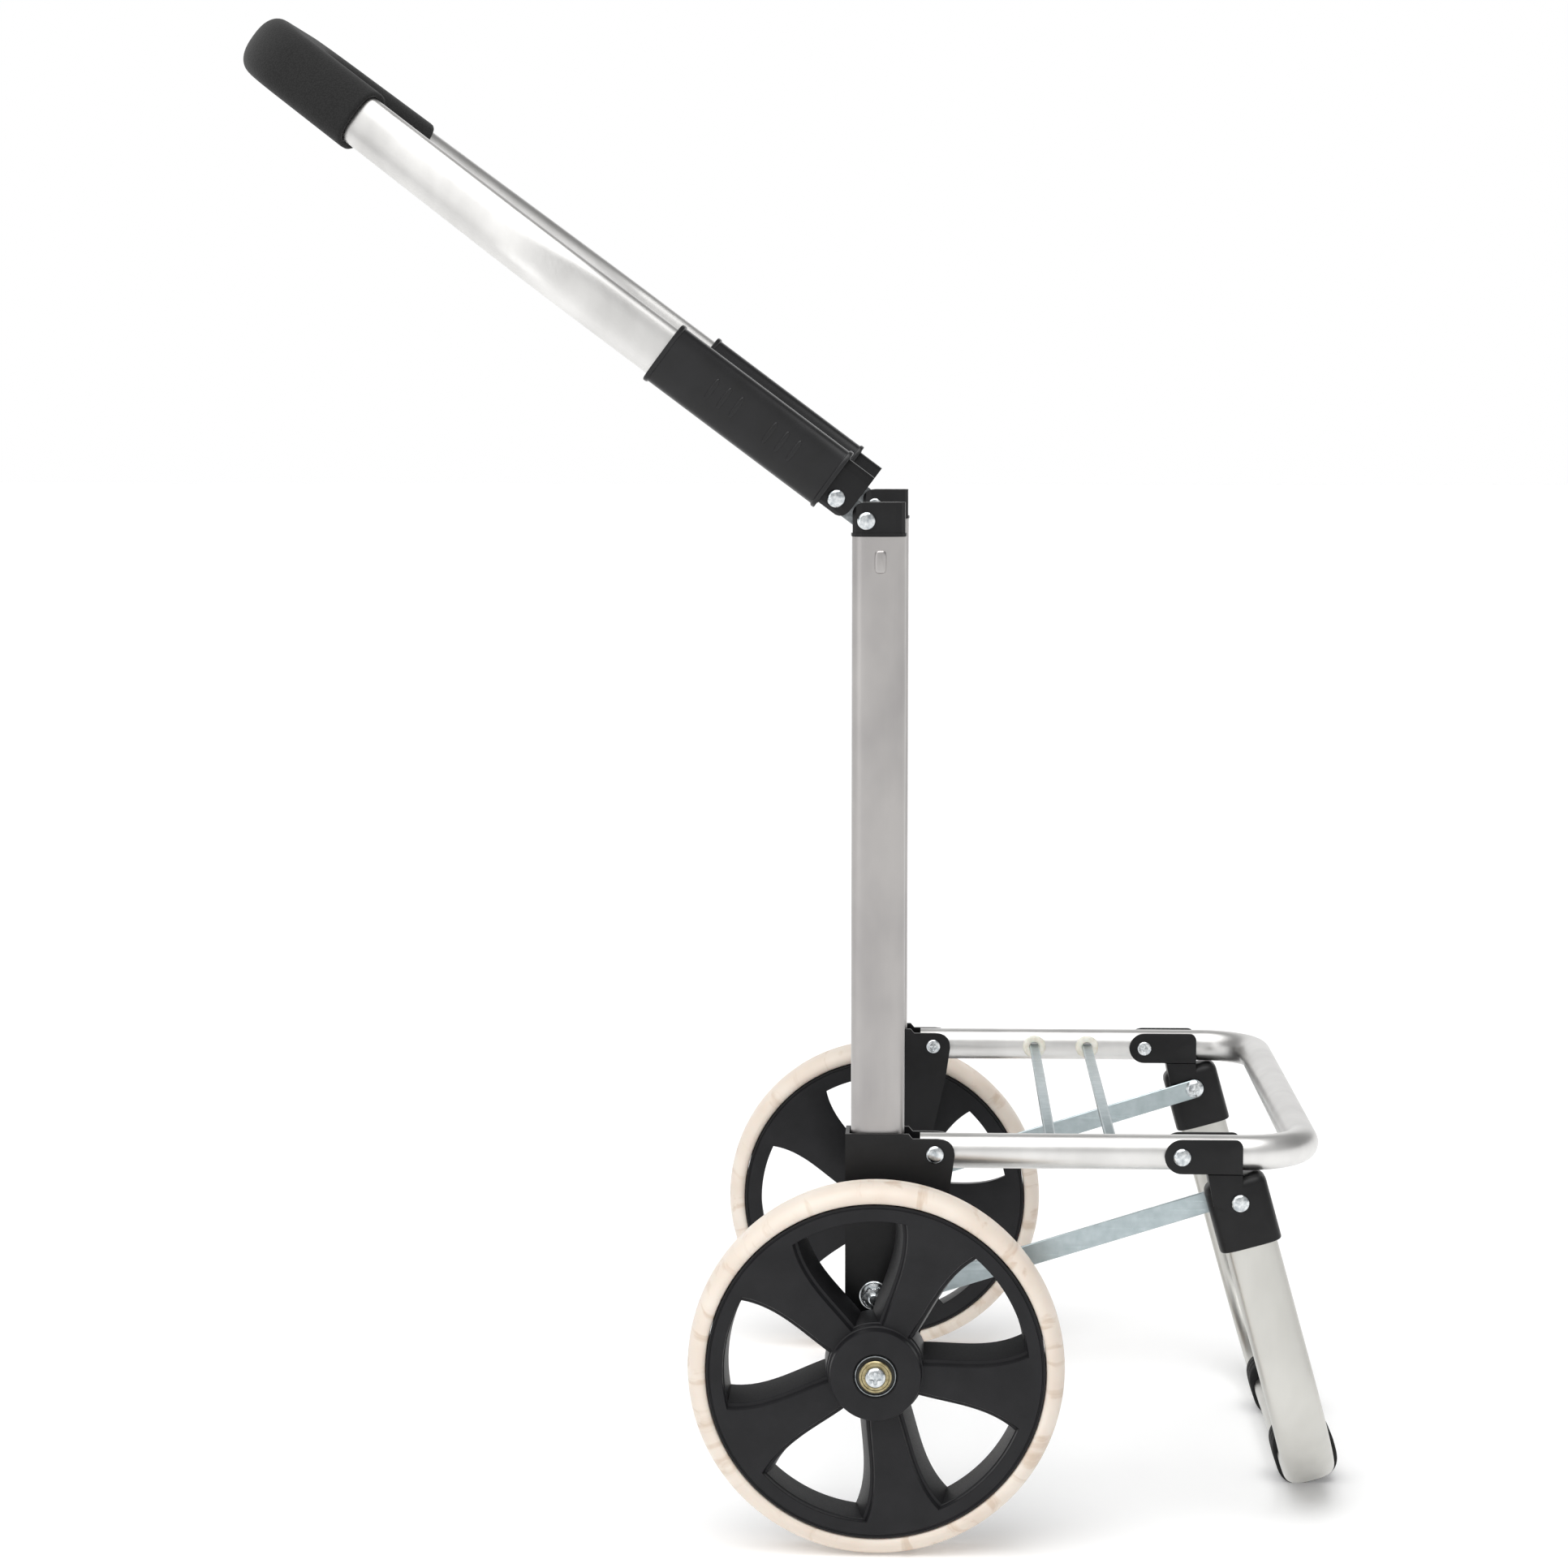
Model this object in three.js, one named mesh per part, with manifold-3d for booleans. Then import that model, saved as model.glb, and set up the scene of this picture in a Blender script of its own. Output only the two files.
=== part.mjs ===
// Folding hand truck: two upright tubes on wheels, a load platform that folds up against them,
// a leg that props the platform, and a bow handle that folds back over a pair of double hinges.
// Millimetres. +X is forward (the platform side), +Y is left, +Z is up.
import * as THREE from 'three';
import { mergeVertices } from 'three/addons/utils/BufferGeometryUtils.js';
import Module from 'manifold-3d';

const wasm = await Module();
wasm.setup();

// ---------------------------------------------------------------- driving dimensions
const fit = 0.3;            // gap between parts that touch
const sideOffset = 169;     // centre of each upright tube from the middle of the truck

const tube = { wide: 28.8, thick: 18, wall: 1.4 };
const rail = { diameter: 19, wall: 1.6 };
const railTop = 216.6;      // load surface of the platform rail

const wheel = { diameter: 200, windows: 5 };
const axleHeight = wheel.diameter / 2;
const tyre = { thickness: 10, width: 30 };
const rim = { band: 8, width: 28, webWidth: 27 };
const hub = { radius: 24.3, width: 42, spacer: 14 };
const windowSpan = { inner: 23, margin: 0.7, innerAngle: 38, middleAngle: 60, outerAngle: 44.2, turn: 28.6 };
const bearing = { outer: 11, width: 7 };

const axle = { middleRadius: 6, endRadius: 4 };
const hubScrew = { headRadius: 5.6, headHeight: 3.4, washerRadius: 8, washerThickness: 1.4 };

const sheet = { thickness: 2.2, back: -17.2, top: 218, shoulder: 215.4, bottom: axleHeight - 12 };
const platformPivot = { x: 31, z: 207.1 };
const strutPivot = { x: 12, z: axleHeight + 24 };
const tubeBolt = { x: -1.5, z: axleHeight + 29.6, radius: 3 };
const nut = { hexRadius: 6.2, height: 5, flangeRadius: 8, flangeHeight: 1.6 };

const legPivot = { x: 163.4, z: 206.6 };
const strutEnd = { x: 194.7, z: 181.8 };
const legLean = 15.5;       // degrees that the leg leans forward
const legBend = 74;         // centreline radius of the leg's two bends
const leg = { crossbarHeight: 17, neckBack: 13.5, neckFront: 32.5 };
const socket = { top: 13, bottom: 25, wall: 2.3 };
const foot = { width: 26, wall: 4.2, sole: 7.8, offset: 72 };

const strut = { width: 11.5, thickness: 2, standOff: 1.9 };
const frontCorner = { x: 231, bend: 34 };
const rod = { width: 6, thickness: 3, first: 94.5, pitch: 33 };
const grommet = { radius: 7.2, flange: 1.6, neckRadius: 4.6 };

const mast = { bottom: axleHeight + 12, top: 538.4 };
const stop = { x: 0.9, below: 13.6, wide: 6, tall: 12, proud: 1 };
const fork = { height: 17.9, corner: 8, lip: 0.5, lipHeight: 1.6, plug: 22 };
const hinge = { height: 8.1, offset: 6.6 };      // hinge pivots from each tube's end and centreline
const link = { pitch: 20, radius: 6.2, thickness: 5.2 };
const foldAngle = 53.2;     // degrees that the handle leans back as it stands here

const handle = { straight: 200, ease: 120, gripSide: 106, gripStart: 330, end: 405, bend: 44, wall: 1.2 };
const foam = { thickness: 3.5, power: 2.5 };
const sleeve = { start: 6.8, length: 113, play: 0.5, wall: 1.6, flange: 1, flangeHeight: 2.4 };

const rivet = { radius: 2.8, headRadius: 4.9, headHeight: 2.4, tailRadius: 4.2, tailHeight: 1.2 };

// ---------------------------------------------------------------- materials
const finish = (color, roughness, metalness) =>
  new THREE.MeshStandardMaterial({ color, roughness, metalness });
const anodised = () => finish('#d2d1cf', 0.32, 1);
const zincPlate = () => finish('#b5bfc1', 0.3, 1);
const yellowZinc = () => finish('#b9a468', 0.3, 1);
const greySteel = () => finish('#8d9092', 0.35, 1);
const powderCoat = () => finish('#232324', 0.5, 0);
const nylon = () => finish('#1f1f21', 0.42, 0);
const whiteNylon = () => finish('#ece9de', 0.4, 0);
const rimPlastic = () => finish('#262627', 0.5, 0);
const tyreRubber = () => finish('#e6dccf', 0.6, 0);
const blackRubber = () => finish('#1b1b1b', 0.8, 0);
const foamRubber = () => finish('#262626', 0.95, 0);

// ---------------------------------------------------------------- solids
// Merges shared corners, drops slivers and turns the faces outward
function closed(geometry) {
  const bare = geometry.clone();
  bare.deleteAttribute('normal');
  bare.deleteAttribute('uv');
  const merged = mergeVertices(bare, 1e-4);
  const corners = merged.index.array;
  const kept = [];
  for (let i = 0; i < corners.length; i += 3) {
    const [a, b, c] = [corners[i], corners[i + 1], corners[i + 2]];
    if (a !== b && b !== c && c !== a) kept.push(a, b, c);
  }
  merged.setIndex(kept);
  if (signedVolume(merged) < 0) merged.setIndex(kept.reverse());
  return merged;
}

function signedVolume(geometry) {
  const place = geometry.getAttribute('position');
  const corners = geometry.index.array;
  const [a, b, c] = [new THREE.Vector3(), new THREE.Vector3(), new THREE.Vector3()];
  let volume = 0;
  for (let i = 0; i < corners.length; i += 3) {
    a.fromBufferAttribute(place, corners[i]);
    b.fromBufferAttribute(place, corners[i + 1]);
    c.fromBufferAttribute(place, corners[i + 2]);
    volume += a.dot(b.cross(c)) / 6;
  }
  return volume;
}

function toSolid(geometry) {
  const shell = closed(geometry);
  return new wasm.Manifold(new wasm.Mesh({
    numProp: 3,
    vertProperties: new Float32Array(shell.getAttribute('position').array),
    triVerts: new Uint32Array(shell.index.array),
  }));
}

function toGeometry(solid) {
  const mesh = solid.getMesh();
  const geometry = new THREE.BufferGeometry();
  geometry.setAttribute('position', new THREE.BufferAttribute(mesh.vertProperties, 3));
  geometry.setIndex(new THREE.BufferAttribute(mesh.triVerts, 1));
  return geometry;
}

function join(first, ...rest) {
  return toGeometry(rest.reduce((sum, piece) => sum.add(toSolid(piece)), toSolid(first)));
}

function cut(first, ...rest) {
  return toGeometry(rest.reduce((left, piece) => left.subtract(toSolid(piece)), toSolid(first)));
}

function overlap(first, second) {
  return toGeometry(toSolid(first).intersect(toSolid(second)));
}

function part(name, geometry, material, parent) {
  const mesh = new THREE.Mesh(closed(geometry), material);
  mesh.geometry.computeVertexNormals();
  mesh.name = name;
  parent.add(mesh);
  return mesh;
}

// ---------------------------------------------------------------- shapes
// Flat-oval section: a superellipse, so the broad faces are nearly flat and the edges round
function ovalPoints(wide, thick, count, power) {
  const points = [];
  for (let i = 0; i < count; i += 1) {
    const angle = (i / count) * 2 * Math.PI;
    const [c, s] = [Math.cos(angle), Math.sin(angle)];
    points.push(new THREE.Vector2(
      (wide / 2) * Math.sign(c) * Math.abs(c) ** (2 / power),
      (thick / 2) * Math.sign(s) * Math.abs(s) ** (2 / power),
    ));
  }
  return points;
}

function circlePoints(radius, count) {
  return ovalPoints(2 * radius, 2 * radius, count, 2);
}

const tubePower = 3;
const outsideSides = 16;
const insideSides = 8;
const bendStep = Math.PI / 12;
const boxyPower = 4;

function oval(wide, thick, count = outsideSides, power = tubePower) {
  return new THREE.Shape(ovalPoints(wide, thick, count, power));
}

function hollowOval(wide, thick, wall) {
  const shape = oval(wide, thick);
  const inside = ovalPoints(wide - 2 * wall, thick - 2 * wall, insideSides, tubePower);
  shape.holes.push(new THREE.Path(inside));
  return shape;
}

function prism(shape, from, to) {
  return new THREE.ExtrudeGeometry(shape, { depth: to - from, bevelEnabled: false, curveSegments: 6 })
    .translate(0, 0, from);
}

// A plate drawn in X and Z, centred on the side plane y
function plate(shape, thickness, y = 0) {
  return new THREE.ExtrudeGeometry(shape, { depth: thickness, bevelEnabled: false, curveSegments: 5 })
    .rotateX(Math.PI / 2)
    .translate(0, y + thickness / 2, 0);
}

function pin(radius, length, x = 0, y = 0, z = 0, sides = 12) {
  return new THREE.CylinderGeometry(radius, radius, length, sides).translate(x, y, z);
}

function block(sizeX, sizeY, sizeZ, x = 0, y = 0, z = 0) {
  return new THREE.BoxGeometry(sizeX, sizeY, sizeZ).translate(x, y, z);
}

// Revolved about Y, from profile points of radius and distance along the axis
function turned(profile, sides = 16) {
  return new THREE.LatheGeometry(profile.map(([r, y]) => new THREE.Vector2(r, y)), sides);
}

function ring(inner, outer, from, to, sides = 20) {
  return turned([[inner, from], [outer, from], [outer, to], [inner, to], [inner, from]], sides);
}

// A strip with two round ends, drawn between two points
function stadium(from, to, radius) {
  const direction = Math.atan2(to.y - from.y, to.x - from.x);
  const shape = new THREE.Shape();
  shape.absarc(from.x, from.y, radius, direction + Math.PI / 2, direction + 1.5 * Math.PI, false);
  shape.absarc(to.x, to.y, radius, direction - Math.PI / 2, direction + Math.PI / 2, false);
  shape.closePath();
  return shape;
}

// A flat centreline sampled only where it needs to be: at its ends and in steps round each bend
class Centreline extends THREE.Curve {
  constructor(stations, across) {
    super();
    this.stations = stations;
    this.across = across;
  }

  getPointAt(share, target = new THREE.Vector3()) {
    const nearest = Math.round(share * (this.stations.length - 1));
    return target.copy(this.stations[nearest].point);
  }

  // The section keeps one axis square to the plane of the bow all the way round
  computeFrenetFrames() {
    const tangents = this.stations.map((station) => station.tangent);
    const normals = tangents.map((tangent) => this.across.clone().cross(tangent));
    const binormals = tangents.map(() => this.across.clone());
    return { tangents, normals, binormals };
  }
}

// Steps round one bend of the given centreline radius
function bendStations(before, corner, after, radius) {
  const entry = corner.clone().sub(before).normalize();
  const turn = entry.angleTo(after.clone().sub(corner));
  const axis = entry.clone().cross(after.clone().sub(corner)).normalize();
  const start = corner.clone().addScaledVector(entry, -radius * Math.tan(turn / 2));
  const centre = start.addScaledVector(axis.clone().cross(entry), radius);
  const steps = Math.max(2, Math.round(turn / bendStep));
  return Array.from({ length: steps + 1 }, (_, i) => {
    const tangent = entry.clone().applyAxisAngle(axis, (turn * i) / steps);
    const point = centre.clone().addScaledVector(axis.clone().cross(tangent), -radius);
    return { point, tangent };
  });
}

// Tube bent through a list of corners, with a radius for each inner corner
function bentLine(corners, radii, across) {
  const last = corners.length - 1;
  const stations = [{ point: corners[0], tangent: corners[1].clone().sub(corners[0]).normalize() }];
  for (let i = 1; i < last; i += 1) {
    stations.push(...bendStations(corners[i - 1], corners[i], corners[i + 1], radii[i - 1]));
  }
  const leaving = corners[last].clone().sub(corners[last - 1]).normalize();
  stations.push({ point: corners[last], tangent: leaving });
  return new Centreline(stations, across);
}

// The section's first axis lies in the plane of the bow, its second across it
function swept(shape, line) {
  const steps = line.stations.length - 1;
  return new THREE.ExtrudeGeometry(shape, { steps, bevelEnabled: false, extrudePath: line });
}

// Domed rivet along Y, its dome on the outer side (+1 is left, -1 is right)
function rivetGeometry(span, side) {
  const half = span / 2 + fit;
  const profile = [
    [0, -half - rivet.tailHeight],
    [rivet.tailRadius, -half - rivet.tailHeight],
    [rivet.tailRadius, -half],
    [rivet.radius, -half],
    [rivet.radius, half],
    [rivet.headRadius, half],
    [rivet.headRadius * 0.82, half + rivet.headHeight * 0.62],
    [rivet.headRadius * 0.45, half + rivet.headHeight * 0.93],
    [0, half + rivet.headHeight],
  ];
  return turned(profile.map(([r, y]) => [r, y * side]), 12);
}

// ---------------------------------------------------------------- groups and sides
const truck = new THREE.Group();
truck.name = 'hand_truck';
const sides = [['left', 1], ['right', -1]];
const channel = tube.thick + 2 * 0.8;               // clear width inside each bracket
const bracketWidth = channel + 2 * sheet.thickness;
const radians = THREE.MathUtils.degToRad;

function group(parent, x, y, z) {
  const made = new THREE.Group();
  made.position.set(x, y, z);
  parent.add(made);
  return made;
}

// ---------------------------------------------------------------- wheels
const rimOuter = wheel.diameter / 2 - fit - tyre.thickness;
const rimInner = rimOuter - rim.band;
const bracketFace = sideOffset + bracketWidth / 2;
const hubInnerFace = bracketFace + hub.spacer;
const hubOuterFace = hubInnerFace + hub.width;
const windowOuter = rimInner - windowSpan.margin;

function windowShape(index) {
  const middle = radians(windowSpan.turn + (index * 360) / wheel.windows);
  const half = (angle) => radians(angle / 2);
  const [inner, outer] = [half(windowSpan.innerAngle), half(windowSpan.outerAngle)];
  const at = (radius, angle) => new THREE.Vector2(radius * Math.cos(angle), radius * Math.sin(angle));
  const waist = (windowSpan.inner + windowOuter) / 2;
  const swell = half(windowSpan.middleAngle);
  const path = new THREE.Path();
  path.absarc(0, 0, windowSpan.inner, middle - inner, middle + inner, false);
  const [bulge, far] = [at(waist, middle + swell), at(windowOuter, middle + outer)];
  path.quadraticCurveTo(bulge.x, bulge.y, far.x, far.y);
  path.absarc(0, 0, windowOuter, middle + outer, middle - outer, true);
  const [back, near] = [at(waist, middle - swell), at(windowSpan.inner, middle - inner)];
  path.quadraticCurveTo(back.x, back.y, near.x, near.y);
  return path;
}

function rimGeometry() {
  const web = new THREE.Shape(circlePoints(rimInner + 1, 36));
  for (let i = 0; i < wheel.windows; i += 1) web.holes.push(windowShape(i));
  const web3d = { depth: rim.webWidth, bevelEnabled: false, curveSegments: 4 };
  const spokes = new THREE.ExtrudeGeometry(web, web3d)
    .rotateX(Math.PI / 2)
    .translate(0, rim.webWidth / 2, 0);
  const band = ring(rimInner, rimOuter, -rim.width / 2, rim.width / 2, 36);
  const boss = pin(hub.radius, hub.width, 0, 0, 0, 20);
  const seat = bearing.outer + fit;
  const pocket = hub.width / 2 - bearing.width - fit;
  const pockets = [-1, 1].map((end) => pin(seat, hub.width, 0, end * (pocket + hub.width / 2), 0, 20));
  return cut(join(spokes, band, boss), ...pockets, pin(axle.middleRadius + 1, hub.width, 0, 0, 0, 12));
}

function tyreGeometry() {
  const inner = rimOuter + fit;
  const outer = wheel.diameter / 2;
  const half = tyre.width / 2;
  const profile = [
    [inner, -half * 0.82],
    [inner + 2.4, -half],
    [outer - 2.6, -half * 0.74],
    [outer, -half * 0.3],
    [outer, half * 0.3],
    [outer - 2.6, half * 0.74],
    [inner + 2.4, half],
    [inner, half * 0.82],
    [inner, -half * 0.82],
  ];
  return turned(profile, 36);
}

function addWheel(side, sign) {
  const wheelGroup = group(truck, 0, (sign * (hubInnerFace + hubOuterFace)) / 2, axleHeight);
  part(`tyre_${side}`, tyreGeometry(), tyreRubber(), wheelGroup);
  part(`rim_${side}`, rimGeometry(), rimPlastic(), wheelGroup);
  for (const [end, direction] of [['outer', sign], ['inner', -sign]]) {
    const centre = direction * (hub.width / 2 - bearing.width / 2);
    const half = bearing.width / 2;
    const race = ring(axle.endRadius + fit, bearing.outer, centre - half, centre + half);
    part(`bearing_${end}_${side}`, race, zincPlate(), wheelGroup);
  }
}

// ---------------------------------------------------------------- axle and its fasteners
function axleGeometry() {
  const step = bracketFace;
  const end = hubOuterFace + fit;
  return turned([
    [0, -end], [axle.endRadius, -end], [axle.endRadius, -step], [axle.middleRadius, -step],
    [axle.middleRadius, step], [axle.endRadius, step], [axle.endRadius, end], [0, end],
  ], 16);
}

function addAxle() {
  const centre = group(truck, 0, 0, axleHeight);
  part('axle', axleGeometry(), zincPlate(), centre);
  for (const [side, sign] of sides) {
    const [from, to] = [bracketFace + fit, hubInnerFace - fit].map((y) => y * sign);
    const bore = axle.endRadius + fit;
    const bush = ring(bore, axle.middleRadius + 2, Math.min(from, to), Math.max(from, to), 16);
    part(`axle_spacer_${side}`, bush, nylon(), centre);
    const inner = hubOuterFace + 2 * fit;
    const outer = inner + hubScrew.washerThickness;
    const brim = hubScrew.washerRadius;
    const washer = turned([[0, inner], [brim, inner], [brim, outer], [0, outer]]
      .map(([r, y]) => [r, y * sign]), 24);
    part(`hub_washer_${side}`, washer, yellowZinc(), centre);
    const seat = outer + fit;
    const top = seat + hubScrew.headHeight;
    const head = turned([[0, seat], [hubScrew.headRadius, seat], [hubScrew.headRadius, top - 1.4],
      [hubScrew.headRadius * 0.7, top - 0.3], [0, top]].map(([r, y]) => [r, y * sign]), 16);
    part(`hub_screw_${side}`, head, zincPlate(), centre);
  }
}

// ---------------------------------------------------------------- upright frame
// Side outline of the folded sheet bracket: straight back, an ear round the platform pivot, a taper down
function bracketShape() {
  const ear = 10.6;
  const shape = new THREE.Shape();
  shape.moveTo(sheet.back, sheet.bottom + 10);
  shape.lineTo(sheet.back, sheet.top);
  shape.lineTo(tube.wide / 2 + 2.4, sheet.top);
  shape.lineTo(tube.wide / 2 + 4.6, sheet.shoulder);
  shape.lineTo(platformPivot.x + 1, sheet.shoulder);
  shape.quadraticCurveTo(platformPivot.x + ear, sheet.shoulder, platformPivot.x + ear, sheet.shoulder - 9);
  shape.lineTo(platformPivot.x + 8, platformPivot.z - 19);
  shape.lineTo(platformPivot.x + 0.6, platformPivot.z - 52);
  shape.lineTo(strutPivot.x + 12, strutPivot.z - 12);
  shape.quadraticCurveTo(strutPivot.x + 8, sheet.bottom, strutPivot.x - 4, sheet.bottom);
  shape.lineTo(sheet.back + 10, sheet.bottom);
  shape.quadraticCurveTo(sheet.back, sheet.bottom, sheet.back, sheet.bottom + 10);
  return shape;
}

function bracketGeometry(sign) {
  const inside = sheet.back + sheet.thickness;
  const reach = 80;
  const tall = sheet.top - sheet.bottom + 20;
  const middle = (sheet.top + sheet.bottom) / 2;
  const hollow = block(reach, channel, tall, inside + reach / 2, 0, middle);
  const rivetHole = pin(rivet.radius + fit, 60, platformPivot.x, 0, platformPivot.z);
  const boltHole = pin(tubeBolt.radius + fit, 60, tubeBolt.x, 0, tubeBolt.z);
  const axleHole = pin(axle.middleRadius + fit, 60, 0, 0, axleHeight, 20);
  const studHole = pin(rivet.radius + fit, 20, strutPivot.x, -sign * (bracketWidth / 2), strutPivot.z);
  return cut(plate(bracketShape(), bracketWidth), hollow, rivetHole, boltHole, axleHole, studHole);
}

function mastGeometry(sign) {
  const length = prism(hollowOval(tube.wide, tube.thick, tube.wall), mast.bottom, mast.top - fit);
  const out = sign * (tube.thick / 2 + stop.proud - 1);
  const bump = block(stop.wide, 2, stop.tall, stop.x, out, mast.top - stop.below);
  const holes = pin(tubeBolt.radius + fit, 60, tubeBolt.x, 0, tubeBolt.z);
  return cut(join(length, bump), holes);
}

// Clevis cap, drawn pointing up from the tube's end, with its pivot nearer the folding side
function forkGeometry() {
  const half = tube.wide / 2;
  const outline = new THREE.Shape();
  outline.moveTo(-half, 0);
  outline.lineTo(-half, fork.height - fork.corner);
  outline.quadraticCurveTo(-half, fork.height, -half + fork.corner, fork.height);
  outline.lineTo(half, fork.height);
  outline.lineTo(half, 0);
  outline.closePath();
  const boxy = (margin) => oval(tube.wide + margin, tube.thick + margin, outsideSides, boxyPower);
  const body = overlap(plate(outline, tube.thick), prism(boxy(0), 0, fork.height));
  const lip = prism(boxy(2 * fork.lip), 0, fork.lipHeight);
  const inner = 2 * (tube.wall + fit);
  const plug = prism(oval(tube.wide - inner, tube.thick - inner, insideSides), -fork.plug, 0.5);
  const slotFloor = hinge.height - link.radius - fit;
  const slot = block(60, link.thickness + 2 * fit, 30, 0, 0, slotFloor + 15);
  const hole = pin(rivet.radius + fit, 60, -hinge.offset, 0, hinge.height);
  return cut(join(body, lip, plug), slot, hole);
}

function boltGeometry() {
  const inner = bracketWidth / 2 + fit;
  const head = inner + 4;
  const flange = inner + nut.flangeHeight;
  const top = flange + nut.height;
  const headRadius = nut.hexRadius - 1;
  return turned([
    [0, -head], [headRadius, -head], [headRadius, -inner], [tubeBolt.radius, -inner],
    [tubeBolt.radius, inner], [nut.flangeRadius, inner], [nut.flangeRadius, flange],
    [nut.hexRadius, flange], [nut.hexRadius, top], [tubeBolt.radius, top],
    [tubeBolt.radius, top + 3], [0, top + 3],
  ], 12);
}

const lowerHinge = { x: -hinge.offset, z: mast.top + hinge.height };

function addUpright(side, sign) {
  const upright = group(truck, 0, sign * sideOffset, 0);
  part(`mast_tube_${side}`, mastGeometry(sign), anodised(), upright);
  const cap = part(`mast_fork_${side}`, forkGeometry(), nylon(), upright);
  cap.position.z = mast.top;
  part(`frame_bracket_${side}`, bracketGeometry(sign), powderCoat(), upright);
  const bolt = part(`bracket_bolt_${side}`, boltGeometry(), zincPlate(), upright);
  bolt.position.set(tubeBolt.x, 0, tubeBolt.z);
  if (sign < 0) bolt.rotation.z = Math.PI;
  const pivot = part(`platform_rivet_${side}`, rivetGeometry(bracketWidth, sign), zincPlate(), upright);
  pivot.position.set(platformPivot.x, 0, platformPivot.z);
  const swivel = part(`mast_hinge_rivet_${side}`, rivetGeometry(tube.thick, sign), zincPlate(), upright);
  swivel.position.set(lowerHinge.x, 0, lowerHinge.z);
  const stud = part(`strut_stud_${side}`, studGeometry(sign), zincPlate(), upright);
  stud.position.set(strutPivot.x, 0, strutPivot.z);
}

// ---------------------------------------------------------------- struts
const strutFace = bracketWidth / 2 + strut.standOff - fit;   // inward from the side plane
const strutSpan = strut.thickness + 2 * fit;

function studGeometry(sign) {
  const base = bracketWidth / 2 - sheet.thickness + fit;
  const head = strutFace + strutSpan;
  return turned([
    [0, base], [rivet.radius, base], [rivet.radius, head], [rivet.headRadius, head],
    [rivet.headRadius * 0.7, head + rivet.headHeight * 0.8], [0, head + rivet.headHeight],
  ].map(([r, y]) => [r, -sign * y]), 12);
}

function strutGeometry() {
  const from = new THREE.Vector2(strutPivot.x, strutPivot.z);
  const to = new THREE.Vector2(strutEnd.x, strutEnd.z);
  const hole = (at) => pin(rivet.radius + fit, 20, at.x, 0, at.y);
  return cut(plate(stadium(from, to, strut.width / 2), strut.thickness), hole(from), hole(to));
}

// The screw at the leg end clamps the strut's eye and stops short of the leg socket
function strutScrewGeometry(sign) {
  const start = -strut.thickness / 2 - fit + 0.1;
  const seat = strut.thickness / 2 + fit;
  return turned([
    [0, start], [rivet.radius, start], [rivet.radius, seat], [rivet.headRadius + 0.6, seat],
    [rivet.headRadius + 0.6, seat + 1], [rivet.headRadius * 0.6, seat + 2.4], [0, seat + 2.6],
  ].map(([r, y]) => [r, -sign * y]), 12);
}

function addStrut(side, sign) {
  const inward = strutFace + fit + strut.thickness / 2;
  const plane = group(truck, 0, sign * (sideOffset - inward), 0);
  part(`strut_${side}`, strutGeometry(), zincPlate(), plane);
  const screw = part(`strut_screw_${side}`, strutScrewGeometry(sign), zincPlate(), plane);
  screw.position.set(strutEnd.x, 0, strutEnd.z);
}

// ---------------------------------------------------------------- platform
const railAxis = railTop - rail.diameter / 2;

function railGeometry() {
  const section = new THREE.Shape(circlePoints(rail.diameter / 2, outsideSides));
  section.holes.push(new THREE.Path(circlePoints(rail.diameter / 2 - rail.wall, insideSides)));
  const start = platformPivot.x - 8;
  const ends = [[start, -1], [frontCorner.x, -1], [frontCorner.x, 1], [start, 1]];
  const corners = ends.map(([x, side]) => new THREE.Vector3(x, side * sideOffset, railAxis));
  const bends = [frontCorner.bend, frontCorner.bend];
  const bow = swept(section, bentLine(corners, bends, new THREE.Vector3(0, 0, 1)));
  const holes = [platformPivot, legPivot].map((at) => pin(rivet.radius + fit, 500, at.x, 0, at.z));
  const rodX = [rod.first, rod.first + rod.pitch];
  const rods = rodX.map((x) => pin(grommet.neckRadius + fit, 2 * sideOffset, x, 0, railAxis));
  return cut(bow, ...holes, ...rods);
}

function grommetGeometry(sign) {
  const face = rail.diameter / 2 - 0.9;
  const neck = face - 4;
  const hole = rod.width / 2 + fit;
  const profile = [
    [hole, neck], [grommet.neckRadius, neck],
    [grommet.neckRadius, face + 1.6], [grommet.radius, face + 1.6],
    [grommet.radius * 0.8, face + 1.6 + grommet.flange], [hole, face + 1.6 + grommet.flange], [hole, neck],
  ];
  return turned(profile.map(([r, y]) => [r, -sign * y]), 12);
}

function addPlatform() {
  const deck = group(truck, 0, 0, 0);
  part('platform_rail', railGeometry(), anodised(), deck);
  for (const [index, name] of ['rear', 'front'].entries()) {
    const x = rod.first + index * rod.pitch;
    const length = 2 * (sideOffset - 3);
    const bar = overlap(
      block(rod.width, length, rod.thickness, x, 0, railAxis),
      pin(rod.width / 2, length, x, 0, railAxis, 16),
    );
    part(`cross_bar_${name}`, bar, zincPlate(), deck);
    for (const [side, sign] of sides) {
      const bush = part(`grommet_${name}_${side}`, grommetGeometry(sign), whiteNylon(), deck);
      bush.position.set(x, sign * sideOffset, railAxis);
    }
  }
  for (const [side, sign] of sides) {
    const pivot = part(`leg_rivet_${side}`, rivetGeometry(bracketWidth, sign), zincPlate(), deck);
    pivot.position.set(legPivot.x, sign * sideOffset, legPivot.z);
  }
}

// ---------------------------------------------------------------- leg
// The leg is drawn upright about its socket pivot, then leans forward as a whole
const lean = radians(legLean);
const legLength = (strutEnd.z - leg.crossbarHeight) / Math.cos(lean);

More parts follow.
